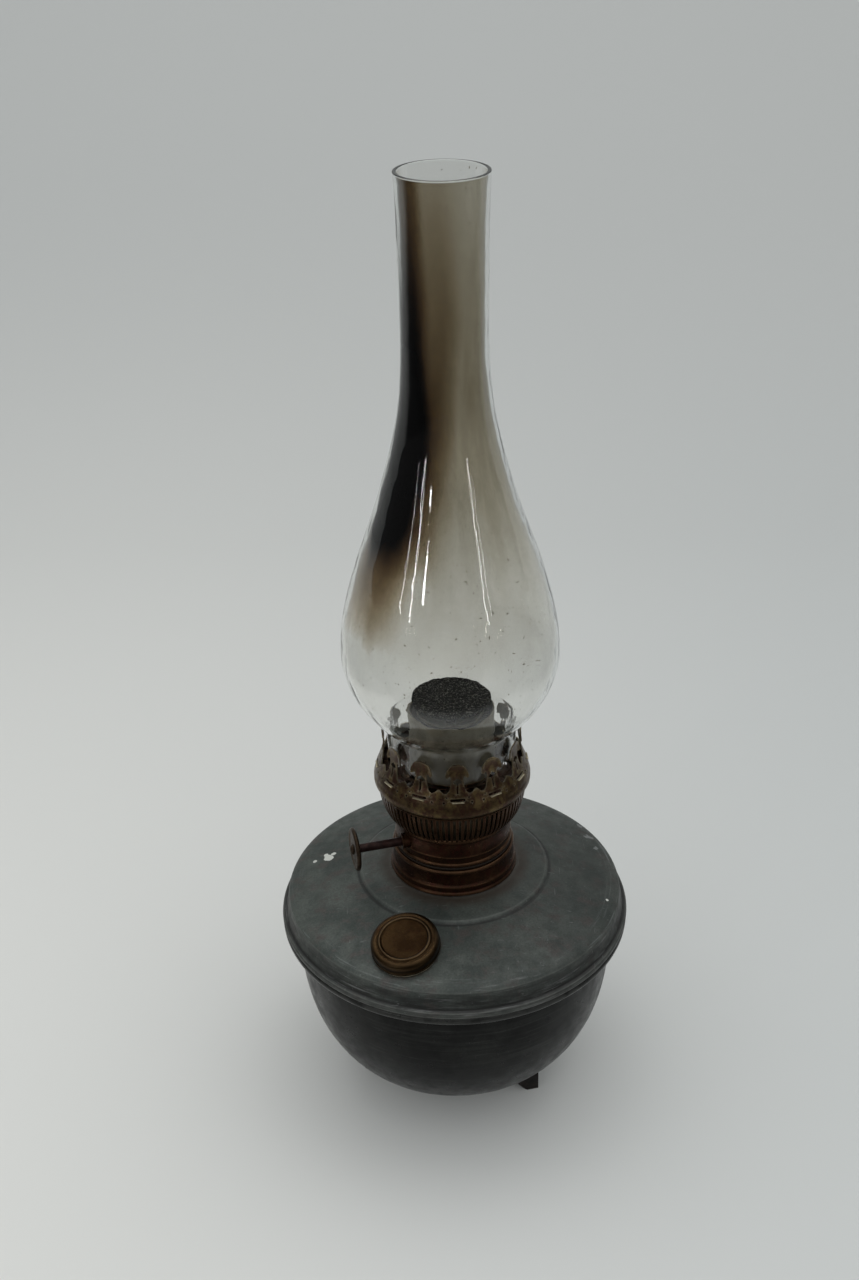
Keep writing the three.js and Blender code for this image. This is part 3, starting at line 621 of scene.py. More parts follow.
@dataclass(frozen=True)
class GrittySoot(Coat):
    """Matt black soot with grey specks, as on the flame disc."""

    black: Colour = (0.004, 0.004, 0.0035)
    dust: Colour = (0.016, 0.016, 0.014)
    speck: Colour = (0.20, 0.20, 0.18)

    def cover(self, recipe: Recipe) -> None:
        """Feeds the shader.

        Args:
            recipe: the material's node tree.
        """
        grit = recipe.noise(1.3, 3.0, 0.8)
        crumbs = recipe.noise(0.8, 1.0, 0.5)
        colour = recipe.ramp(grit, (0.42, self.black), (0.56, self.dust), (0.66, self.speck))
        colour = recipe.blend(recipe.step(crumbs, 0.60, 0.68), colour, self.speck)
        recipe.set(Base_Color=colour, Metallic=0.0, Roughness=0.9, Specular_IOR_Level=0.25)
        recipe.set(Normal=recipe.bump(grit, 0.5))


@dataclass(frozen=True)
class OiledLeather(Coat):
    """Dark leather with a fine pebbled grain."""

    dark: Colour = (0.008, 0.005, 0.0035)
    light: Colour = (0.022, 0.014, 0.009)

    def cover(self, recipe: Recipe) -> None:
        """Feeds the shader.

        Args:
            recipe: the material's node tree.
        """
        grain = recipe.noise(0.8, 5.0, 0.7)
        recipe.set(Base_Color=recipe.ramp(grain, (0.35, self.dark), (0.7, self.light)))
        recipe.set(Roughness=recipe.step(grain, 0.3, 0.7, 0.6, 0.8), Specular_IOR_Level=0.2)
        recipe.set(Normal=recipe.bump(grain, 0.1))


@dataclass(frozen=True)
class WovenCotton(Coat):
    """A round wick: ribs along it, crossed by the weft, and charred at its top edge."""

    cotton: Colour = (0.42, 0.36, 0.25)
    shade: Colour = (0.20, 0.16, 0.10)
    char: Colour = (0.012, 0.010, 0.008)
    char_height: float = 201.0
    char_fade: float = 4.0
    ribs: int = 84
    weft: float = 1.1

    def cover(self, recipe: Recipe) -> None:
        """Feeds the shader.

        Args:
            recipe: the material's node tree.
        """
        x, y, z = recipe.split(recipe.place)
        warp = recipe.calc("SINE", recipe.times(recipe.calc("ARCTAN2", y, x), float(self.ribs)))
        cross = recipe.calc("SINE", recipe.times(z, TURN / (self.weft * MM)))
        height = recipe.plus(recipe.plus(recipe.times(warp, 0.3), recipe.times(cross, 0.2)), 0.5)
        colour = recipe.ramp(height, (0.2, self.shade), (0.75, self.cotton))
        edge = recipe.plus(z, recipe.times(recipe.noise(5.0, 4.0), 6.0 * MM))
        burnt = recipe.step(edge, self.char_height * MM, (self.char_height + self.char_fade) * MM)
        recipe.set(Base_Color=recipe.blend(burnt, colour, self.char), Roughness=0.95)
        recipe.set(Sheen_Weight=0.3, Normal=recipe.bump(height, 0.25))


@dataclass(frozen=True)
class ChimneyGlass:
    """Blown glass, and the smoke that lies on its inner wall.

    The smoke is heaviest in a band on the left of the front: a black core with a brown
    fringe on its right, which is widest in the throat and ends in the bulb. A thin haze
    covers the rest of the front. Angles are in degrees and lengths in millimetres. A pair
    says between which two values a layer fades in, or the glass turns opaque or matt.
    """

    tint: Colour = (0.96, 0.97, 0.95)
    index: float = 1.5
    smoke_low: float = 200.0
    smoke_high: float = 440.0
    left_start: float = -188.0
    left_fade: float = 26.0
    left_edge: float = -175.0
    right_edge: float = -68.0
    deepest: float = 3.3
    deepest_fringe: float = 1.8
    thickest_haze: float = 1.15
    core_softness: float = 28.0
    fringe_softness: float = 36.0
    streak_shift: float = 26.0
    streak_rise: float = 0.08
    haze_fade: Point = (9.0, -4.0)
    band_fade: Point = (12.0, 0.0)
    opaque_depth: Point = (2.6, 4.2)
    matt_depth: Point = (1.4, 3.0)
    haze_absorption: Colour = (1.0, 1.13, 1.42)
    band_absorption: Colour = (1.0, 1.25, 1.65)
    ripple: float = 0.012
    wave: float = 0.21
    dust: Colour = (0.25, 0.22, 0.16)
    stain: Colour = (0.12, 0.10, 0.05)

    def rippled(self, recipe: Recipe) -> NodeSocket:
        """The slight unevenness of blown glass, which breaks up its highlights."""
        ripples = recipe.bump(recipe.noise(2.2, 1.0), self.ripple)
        return recipe.bump(recipe.noise(9.0, 1.0, 0.5, recipe.stretched(1.0, 1.0, 0.6)), self.wave, ripples)

    def specks(self, recipe: Recipe) -> NodeSocket:
        """The glass's tint, with dust and one brown stain on it.

        Args:
            recipe: the material's node tree.

        Returns:
            The colour's socket.
        """
        dusty = recipe.step(recipe.noise(1.3, 0.0), 0.80, 0.83)
        colour = recipe.blend(dusty, self.tint, self.dust)
        stained = recipe.near((35.0, -22.0, 213.0), 1.6, 1.8, 1.2)
        return recipe.blend(stained, colour, self.stain)

    def clear(self, name: str) -> Material:
        """Builds the clear glass of the outer wall.

        Args:
            name: the material's name.

        Returns:
            The finished material.
        """
        recipe = Recipe(name)
        recipe.set(Base_Color=self.specks(recipe), Roughness=0.0, IOR=self.index)
        recipe.set(Transmission_Weight=1.0, Normal=self.rippled(recipe))
        return recipe.material

    def layer(self, recipe: Recipe, angle: NodeSocket, edge: NodeSocket, softness: float) -> NodeSocket:
        """One layer of the band, from its left edge to a right edge that shifts with the height.

        Args:
            recipe: the material's node tree.
            angle: the way round the glass, in degrees, with -90 at the front.
            edge: where the right edge is, from 0 to 1 between the band's widest limits.
            softness: how many degrees the right edge takes to fade.

        Returns:
            1 inside the layer and 0 outside.
        """
        right = recipe.plus(recipe.times(edge, self.right_edge - self.left_edge), self.left_edge)
        left = recipe.step(angle, self.left_start, self.left_start + self.left_fade)
        return recipe.times(recipe.step(recipe.minus(angle, right), softness / 2, -softness / 2), left)

    def band(self, recipe: Recipe, height: NodeSocket, streak: NodeSocket) -> NodeSocket:
        """The heavy band's depth: a core with a brown fringe on its right.

        Args:
            recipe: the material's node tree.
            height: from 0 at the bottom of the smoke to 1 at its top.
            streak: noise drawn out along the glass, from -0.5 to 0.5.

        Returns:
            Optical depth.
        """
        angle = recipe.minus(recipe.times(recipe.way_round(), math.degrees(1.0)), 90.0)
        angle = recipe.plus(angle, recipe.times(streak, self.streak_shift))
        ragged = recipe.plus(height, recipe.times(streak, self.streak_rise))
        core_edge = recipe.ramp(height, (0.28, 0.44), (0.42, 0.47), (0.54, 0.56), (0.66, 0.51), (1.0, 0.46))
        core_depth = recipe.ramp(ragged, (0.22, 0.0), (0.29, 0.28), (0.36, 0.60), (0.44, 1.0),
                                 (0.53, 0.72), (0.80, 0.62), (1.0, 0.45))
        core = recipe.times(self.layer(recipe, angle, core_edge, self.core_softness), core_depth)
        fringe_edge = recipe.ramp(height, (0.42, 0.66), (0.52, 0.74), (0.66, 0.81), (0.78, 0.94),
                                  (1.0, 0.88))
        fringe_depth = recipe.ramp(ragged, (0.35, 0.0), (0.41, 0.60), (0.50, 0.95), (0.60, 1.0),
                                   (0.72, 0.55), (1.0, 0.14))
        fringe = recipe.times(self.layer(recipe, angle, fringe_edge, self.fringe_softness), fringe_depth)
        return recipe.plus(recipe.times(core, self.deepest), recipe.times(fringe, self.deepest_fringe))

    def smoke(self, recipe: Recipe) -> tuple[NodeSocket, NodeSocket]:
        """How thick the smoke lies at each place.

        Args:
            recipe: the material's node tree.

        Returns:
            The optical depths of the thin haze and of the heavy band.
        """
        _, y, z = recipe.split(recipe.place)
        streaks = recipe.noise(9.0, 4.0, 0.6, recipe.stretched(1.0, 1.0, 0.12))
        span = (self.smoke_high - self.smoke_low) * MM
        height = recipe.calc("DIVIDE", recipe.minus(z, self.smoke_low * MM), span)
        haze = recipe.ramp(height, (0.0, 0.0), (0.18, 0.09), (0.34, 0.33), (0.50, 0.78), (0.66, 1.0),
                           (0.80, 0.86), (1.0, 0.64))
        uneven_haze = recipe.times(haze, recipe.step(streaks, 0.25, 0.75, 0.86, 1.14))
        front = recipe.step(y, *(limit * MM for limit in self.haze_fade), 0.05, 1.0)
        left = recipe.step(y, *(limit * MM for limit in self.band_fade))
        band = self.band(recipe, height, recipe.minus(streaks, 0.5))
        thin = recipe.times(recipe.times(uneven_haze, front), self.thickest_haze)
        return thin, recipe.times(band, left)

    def smoked(self, name: str) -> Material:
        """Builds the inner wall's glass with its smoke.

        Args:
            name: the material's name.

        Returns:
            The finished material.
        """
        recipe = Recipe(name)
        thin, heavy = self.smoke(recipe)
        passed = []
        for haze, band in zip(self.haze_absorption, self.band_absorption):
            depth = recipe.plus(recipe.times(thin, haze), recipe.times(heavy, band))
            passed.append(recipe.calc("EXPONENT", recipe.times(depth, -2.0)))
        colour = recipe.node("ShaderNodeCombineColor", *passed).outputs[0]
        depth = recipe.plus(thin, heavy)
        recipe.set(Base_Color=colour, Roughness=0.0, IOR=self.index)
        recipe.set(Transmission_Weight=recipe.step(depth, *self.opaque_depth, 1.0, 0.0))
        recipe.set(Specular_IOR_Level=recipe.step(depth, *self.matt_depth, 0.5, 0.0))
        return recipe.material


# The fourth colour of each metal is its worn edge colour, which also paints highlight lines on beads and
# edges.
FINISHES: dict[Finish, Coat] = {
    Finish.ZINC_TOP: ZincPlate(
        (0.032, 0.040, 0.035), (0.064, 0.073, 0.064), (0.054, 0.048, 0.043), (0.19, 0.195, 0.18),
        metallic=0.3, smoothest=0.42, roughest=0.60, patch=18.0, grain=0.9, pitting=0.014),
    Finish.ZINC_BOWL: SpunZinc(
        (0.004, 0.004, 0.004), (0.011, 0.0113, 0.0105), (0.0025, 0.0025, 0.0025), (0.12, 0.122, 0.115),
        metallic=0.55, smoothest=0.26, roughest=0.42, patch=24.0, grain=1.2, stain_share=0.5, pitting=0.008,
        gloss=0.18),
    Finish.IRON: AgedMetal(
        (0.005, 0.004, 0.0035), (0.016, 0.011, 0.008), (0.009, 0.005, 0.004), (0.05, 0.038, 0.028),
        metallic=0.5, smoothest=0.45, roughest=0.7, patch=7.0, grain=0.8, pitting=0.05),
    Finish.BROWN_BRASS: BurnerBrass(
        (0.024, 0.0098, 0.0050), (0.058, 0.026, 0.0115), (0.044, 0.011, 0.0065), (0.14, 0.078, 0.038),
        metallic=0.85, smoothest=0.25, roughest=0.45, patch=7.0, grain=0.8, stain_share=0.6),
    Finish.GOLD_BRASS: BurnerBrass(
        (0.036, 0.020, 0.008), (0.125, 0.084, 0.032), (0.046, 0.018, 0.009), (0.52, 0.46, 0.32),
        metallic=0.75, smoothest=0.26, roughest=0.46, patch=6.0, grain=0.8, stain_share=0.7),
    Finish.CAP_BRASS: AgedMetal(
        (0.019, 0.0100, 0.0042), (0.037, 0.0215, 0.0092), (0.027, 0.0105, 0.005), (0.15, 0.10, 0.055),
        metallic=1.0, smoothest=0.3, roughest=0.45, patch=8.0, grain=0.7, stain_share=0.3),
    Finish.KNOB_BRASS: AgedMetal(
        (0.035, 0.022, 0.013), (0.068, 0.048, 0.030), (0.030, 0.015, 0.008), (0.13, 0.10, 0.065),
        metallic=0.9, smoothest=0.4, roughest=0.55, patch=5.0, grain=0.7, stain_share=0.4),
    # The tube above 172 mm gets the painted light all round.
    Finish.TUBE_BRASS: BurnerBrass(
        (0.050, 0.038, 0.024), (0.11, 0.09, 0.06), (0.045, 0.028, 0.016), (0.2, 0.18, 0.14),
        metallic=0.4, smoothest=0.35, roughest=0.6, patch=7.0, grain=0.8,
        painted_inner_light=(0.43, 0.395, 0.31), painted_light_above=172.0, painted_light_outwards=60.0),
    Finish.BROWN_STEEL: AgedMetal(
        (0.018, 0.007, 0.006), (0.045, 0.022, 0.018), (0.028, 0.008, 0.006), (0.12, 0.08, 0.06),
        metallic=0.7, smoothest=0.35, roughest=0.55, patch=5.0, grain=0.6),
    Finish.SOOTED_DISC: GrittySoot(),
    Finish.LEATHER: OiledLeather(),
    Finish.COTTON: WovenCotton(),
}


class Palette:
    """Makes each finish's material once and hands it out."""

    def __init__(self) -> None:
        """Starts with no material made."""
        self.made: dict[Finish, list[Material]] = {}

    def of(self, finish: Finish) -> list[Material]:
        """The materials of a finish.

        Args:
            finish: the finish.

        Returns:
            One material, or two for the chimney: its clear and its smoked wall.
        """
        if finish not in self.made:
            if finish is Finish.GLASS:
                glass = ChimneyGlass()
                self.made[finish] = [glass.clear(finish.value), glass.smoked("smoked_glass")]
            else:
                self.made[finish] = [FINISHES[finish].material(finish.value)]
        return self.made[finish]


PALETTE = Palette()


# Outlines and meshes


def bounds_mm(node: str) -> tuple[Vector, Vector]:
    """A CAD node's lowest and highest corners, in millimetres."""
    low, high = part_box(node)
    return low / MM, high / MM


def place_mm(x: float, y: float, z: float) -> Matrix:
    """A shift given in millimetres."""
    return Matrix.Translation(Vector((x, y, z)) * MM)


def curve(start: Point, leaving: Point, arriving: Point, end: Point, points: int) -> list[Point]:
    """Points on a smooth curve.

    Args:
        start: its first point.
        leaving: what it heads for at the start.
        arriving: what it comes from at the end.
        end: its last point.
        points: how many points it has.

    Returns:
        The points.
    """
    spots = [Vector((*point, 0.0)) for point in (start, leaving, arriving, end)]
    return [(spot.x, spot.y) for spot in interpolate_bezier(*spots, points)]


def whole(right: list[Point]) -> list[Point]:
    """A symmetrical closed outline, from the points of its right half."""
    return right + [(-across, height) for across, height in reversed(right) if across > 0.0]


class Outline:
    """The half section of a turned piece, drawn point by point in millimetres."""

    def __init__(self) -> None:
        """Starts with no points."""
        self.points: list[tuple[float, float, float]] = []

    def to(self, radius: float, height: float, rounding: float = 0.0) -> "Outline":
        """Adds a corner, rounded by a length along its sides."""
        self.points.append((radius, height, rounding))
        return self

    def along(self, path: Iterable[Point]) -> "Outline":
        """Adds the points of a curve."""
        self.points.extend((radius, height, 0.0) for radius, height in path)
        return self

    def drawn(self, closed: bool) -> BMesh:
        """Draws the outline as edges in the XZ plane, with its corners rounded.

        Args:
            closed: whether the last point joins the first.

        Returns:
            A mesh of edges, in metres.
        """
        mesh = bmesh.new()
        corners = [mesh.verts.new((r * MM, 0.0, z * MM)) for r, z, _ in self.points]
        ends = corners[1:] + corners[:1] if closed else corners[1:]
        for start, end in zip(corners, ends):
            mesh.edges.new((start, end))
        rounded = [(c, p[2] * MM) for c, p in zip(corners, self.points) if p[2] > 0]
        for corner, rounding in rounded:
            bmesh.ops.bevel(mesh, geom=[corner], offset=rounding, offset_type="OFFSET", segments=4,
                            profile=0.5, affect="VERTICES", material=-1, clamp_overlap=True)
        return mesh

    def turned(self, steps: int = 96, place: Matrix | None = None) -> BMesh:
        """Turns the outline about the Z axis.

        Args:
            steps: how many faces go round.
            place: where the turned piece goes, or None to leave it on the axis.

        Returns:
            A closed mesh with its faces outwards.
        """
        mesh = self.drawn(closed=self.points[0][0] > 0)
        bmesh.ops.spin(mesh, geom=mesh.verts[:] + mesh.edges[:], cent=(0, 0, 0), axis=(0, 0, 1),
                       angle=TURN, steps=steps, use_merge=True)
        bmesh.ops.remove_doubles(mesh, verts=mesh.verts, dist=1e-7)
        if place is not None:
            mesh.transform(place)
        bmesh.ops.recalc_face_normals(mesh, faces=mesh.faces)
        return mesh


def box_cutter(low: tuple[float, float, float], high: tuple[float, float, float],
               place: Matrix | None = None) -> BMesh:
    """A box to cut another piece with.

    Args:
        low: its lowest corner, in millimetres.
        high: its highest corner.
        place: where it goes.

    Returns:
        A closed mesh.
    """
    mesh = bmesh.new()
    bmesh.ops.create_cube(mesh, size=1.0)
    size = [(b - a) * MM for a, b in zip(low, high)]
    middle = [(a + b) / 2 * MM for a, b in zip(low, high)]
    bmesh.ops.scale(mesh, vec=size, verts=mesh.verts)
    bmesh.ops.translate(mesh, vec=middle, verts=mesh.verts)
    if place is not None:
        mesh.transform(place)
    return mesh


def rod_cutter(radius: float, bottom: float, top: float, place: Matrix, sides: int = 24) -> BMesh:
    """A rod to cut another piece with.

    Args:
        radius: its radius, in millimetres.
        bottom: where it starts on the Z axis.
        top: where it ends.
        place: where it goes.
        sides: how many sides it has.

    Returns:
        A closed mesh.
    """
    mesh = bmesh.new()
    bmesh.ops.create_cone(mesh, cap_ends=True, segments=sides, radius1=radius * MM,
                          radius2=radius * MM, depth=(top - bottom) * MM)
    bmesh.ops.translate(mesh, vec=(0, 0, (top + bottom) / 2 * MM), verts=mesh.verts)
    mesh.transform(place)
    return mesh


def carved(mesh: BMesh, *cutters: BMesh) -> BMesh:
    """Cuts pieces out of a mesh, one after another, so that cutters may overlap.

    Args:
        mesh: what is cut.
        cutters: closed meshes that are taken away from it.

    Returns:
        The cut mesh. The meshes given are freed.
    """
    for cutter in cutters:
        body = to_object("carving", mesh)
        tool = to_object("carving_tool", cutter)
        modifier = body.modifiers.new("cut", "BOOLEAN")
        modifier.operation = "DIFFERENCE"
        modifier.solver = "EXACT"
        modifier.object = tool
        bpy.context.view_layer.update()
        mesh = bmesh.new()
        mesh.from_mesh(body.evaluated_get(bpy.context.evaluated_depsgraph_get()).to_mesh())
        for spent in (body, tool):
            old = spent.data
            bpy.data.objects.remove(spent)
            bpy.data.meshes.remove(old)
        bmesh.ops.remove_doubles(mesh, verts=mesh.verts, dist=1e-7)
    return mesh


def to_object(name: str, mesh: BMesh) -> Object:
    """Puts a mesh in the scene as an object at the origin.

    Args:
        name: the object's name.
        mesh: its mesh, which is freed.

    Returns:
        The object.
    """
    data = bpy.data.meshes.new(name)
    mesh.to_mesh(data)
    mesh.free()
    piece = bpy.data.objects.new(name, data)
    bpy.context.scene.collection.objects.link(piece)
    return piece


def mark_wear_and_highlight(mesh: BMesh, reach: float) -> None:
    """Stores how sharply each point stands out, which is where hands and cloths rub it and where the pale
    edge colour paints highlight lines.

    Args:
        mesh: the piece.
        reach: radius in millimetres of a bead that gets the full worn colour and painted highlight.
    """
    layer = mesh.verts.layers.float.new(WEAR_AND_HIGHLIGHT)
    for edge in mesh.edges:
        if len(edge.link_faces) != 2 or edge.calc_length() < 1e-9:
            continue
        across = sum(face.calc_area() for face in edge.link_faces) / 2 / edge.calc_length()
        bend = edge.calc_face_angle_signed(0.0) / max(across, 1e-6)
        rubbed_and_highlight = min(max(bend * reach * MM, 0.0), 1.0)
        for corner in edge.verts:
            corner[layer] = max(corner[layer], rubbed_and_highlight)


def soften(mesh: BMesh, sharpest: float) -> None:
    """Shades a mesh smooth, apart from its sharp edges.

    Args:
        mesh: the piece.
        sharpest: edges sharper than this angle in degrees stay sharp.
    """
    for face in mesh.faces:
        face.smooth = True
    limit = math.radians(sharpest)
    for edge in mesh.edges:
        if len(edge.link_faces) == 2:
            edge.smooth = edge.calc_face_angle(0.0) < limit


def present(name: str, mesh: BMesh, body: Body, finish: Finish,
            stands_for: tuple[str, ...] = (), sharpest: float = 34.0, reach: float = 0.45) -> Object:
    """Finishes a piece: shading, wear with painted edge highlights, material, body and the CAD nodes it
    stands for.

    Args:
        name: the piece's name.
        mesh: its mesh, which is freed.
        body: the body it moves with.
        finish: its finish.
        stands_for: CAD nodes that it replaces.
        sharpest: edges sharper than this angle in degrees stay sharp.
        reach: radius in millimetres of a bead that gets the full worn colour and painted highlight.

    Returns:
        The piece's object.
    """
    soften(mesh, sharpest)
    mark_wear_and_highlight(mesh, reach)
    piece = to_object(name, mesh)
    for material in PALETTE.of(finish):
        piece.data.materials.append(material)
    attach(piece, body.value)
    if stands_for:
        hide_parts(*stands_for)
    LOG.info("%s: %d faces", name, len(piece.data.polygons))
    if not piece.data.polygons:
        raise ValueError(f"{name} has no faces")
    return piece


def refined(node: str, edge: float, segments: int = 2) -> BMesh:
    """A copy of a CAD node with its flat faces joined and its edges eased.

    Args:
        node: the CAD node.
        edge: how wide the eased edges are, in millimetres.
        segments: how many faces cross an eased edge.

    Returns:
        The copy.
    """
    mesh = bmesh.new()
    mesh.from_mesh(bpy.data.objects[node].data)
    bmesh.ops.remove_doubles(mesh, verts=mesh.verts, dist=2e-6)
    bmesh.ops.dissolve_limit(mesh, angle_limit=math.radians(0.6), verts=mesh.verts, edges=mesh.edges)
    sharp = [e for e in mesh.edges if len(e.link_faces) == 2 and e.calc_face_angle(0.0) > math.radians(35)]
    bmesh.ops.bevel(mesh, geom=sharp, offset=edge * MM, offset_type="OFFSET", segments=segments,
                    profile=0.5, affect="EDGES", material=-1, clamp_overlap=True)
    return mesh


def thread(radius: float, bottom: float, top: float, pitch: float, ridge: float,
           place: Matrix | None = None) -> BMesh:
    """A screw thread: a ridge that winds up round a wall.

    Args:
        radius: the wall's radius, in millimetres.
        bottom: where the ridge starts.
        top: where it ends.
        pitch: how far it climbs in one turn.
        ridge: how far it stands out.
        place: where it goes.

    Returns:
        A closed mesh.
    """
    mesh = bmesh.new()
    half = pitch * 0.3
    section = [(radius - 0.1, -half), (radius + ridge * 0.6, -half * 0.4), (radius + ridge, 0.0),
               (radius + ridge * 0.6, half * 0.4), (radius - 0.1, half)]
    corners = [mesh.verts.new((r * MM, 0, (bottom + half + z) * MM)) for r, z in section]
    first = mesh.faces.new(corners)
    turns = (top - bottom - 2 * half) / pitch
    steps = round(turns * 48)
    bmesh.ops.spin(mesh, geom=[first], cent=(0, 0, 0), axis=(0, 0, 1), angle=TURN * turns, steps=steps,
                   dvec=(0, 0, pitch * turns * MM / steps), use_merge=False)
    if place is not None:
        mesh.transform(place)
    bmesh.ops.recalc_face_normals(mesh, faces=mesh.faces)
    return mesh


def uneven(mesh: BMesh, depth: float, size: float, keep: Callable[[Vector], bool]) -> None:
    """Moves points a little towards or away from the Z axis, as handwork and blowing leave them.

    Args:
        mesh: the piece.
        depth: furthest move, in millimetres.
        size: size of the unevenness, in millimetres.
        keep: says which points stay where they are.
    """
    for corner in mesh.verts:
        if not keep(corner.co):
            outwards = Vector((corner.co.x, corner.co.y, 0.0)).normalized()
            corner.co += outwards * noise.noise(corner.co / (size * MM)) * depth * MM
    mesh.normal_update()


# The oil font


@dataclass
class Filler:
    """Where the filler stands on the font, square to its dome, and its pieces."""

    radius: float = 59.8
    azimuth: float = -111.2
    height: float = 115.22
    slope: float = 15.476
    neck_outer: float = 13.4
    neck_bore: float = 12.4
    neck_top: float = 4.2
    flange: float = 15.0
    cap_radius: float = 15.5
    ring_radius: float = 11.0
    ring_top: float = 7.6

    def place(self) -> Matrix:
        """The filler's own frame, with its axis out of the dome.

        Returns:
            Where a piece drawn on the Z axis goes.
        """
        azimuth = math.radians(self.azimuth)
        spot = place_mm(self.radius * math.cos(azimuth), self.radius * math.sin(azimuth), self.height)
        return spot @ Matrix.Rotation(azimuth, 4, "Z") @ Matrix.Rotation(math.radians(self.slope), 4, "Y")

    def neck(self) -> None:
        """The soldered neck with the thread that the cap screws on to."""
        neck = Outline().to(self.neck_bore, -3.0, 0.2).to(self.neck_outer, -3.0, 0.2)
        neck.to(self.neck_outer, -0.1).to(self.flange, -0.1, 0.15).to(self.flange, 0.4, 0.2)
        neck.to(self.neck_outer + 0.3, 0.5, 0.25).to(self.neck_outer, 1.0)
        neck.to(self.neck_outer, self.neck_top, 0.2).to(self.neck_bore, self.neck_top, 0.2)
        present("filler_neck_tube", neck.turned(72, self.place()), Body.FONT, Finish.GOLD_BRASS,
                ("filler_neck",))
        ridge = thread(self.neck_outer, 1.1, self.neck_top - 0.2, 1.2, 0.3, self.place())
        present("filler_neck_thread", ridge, Body.FONT, Finish.GOLD_BRASS)

    def washer(self) -> None:
        """The leather washer inside the cap."""
        washer = Outline().to(11.0, 4.5, 0.15).to(13.3, 4.5, 0.15).to(13.3, 4.9).to(12.2, 5.6, 0.1)
        washer.to(11.0, 5.6, 0.15)
        present("cap_leather_washer", washer.turned(72, self.place()), Body.CAP_SEAL, Finish.LEATHER,
                ("filler_cap_washer",))

    def cap(self) -> None:
        """The pressed cap: a flat face inside a thin raised ring, and a rolled lower lip."""
        ring, top, side = self.ring_radius, self.ring_top, self.cap_radius
        cap = Outline().to(0.0, 6.8).to(5.0, 6.85).to(ring - 0.8, 6.9, 0.25).to(ring - 0.3, top - 0.3)
        cap.to(ring, top, 0.2).to(ring + 0.5, top - 0.1, 0.2).to(ring + 1.0, 6.9, 0.3)
        cap.to(side - 2.2, 7.3, 0.8).to(side - 0.6, 6.6, 1.0).to(side - 0.1, 5.0, 0.8)
        cap.to(side - 0.3, 2.4, 0.4).to(side, 2.0, 0.3).to(side, 0.95, 0.3).to(side - 0.4, 0.7, 0.15)
        cap.to(13.9, 0.7, 0.15).to(13.9, 4.6, 0.6).to(12.4, 5.9, 0.5).to(0.0, 5.9)
        present("filler_cap_shell", cap.turned(96, self.place()), Body.CAP, Finish.CAP_BRASS,
                ("filler_cap",), reach=0.35)

    def build(self) -> None:
        """Builds the neck, the washer and the cap."""
        self.neck()
        self.washer()
        self.cap()


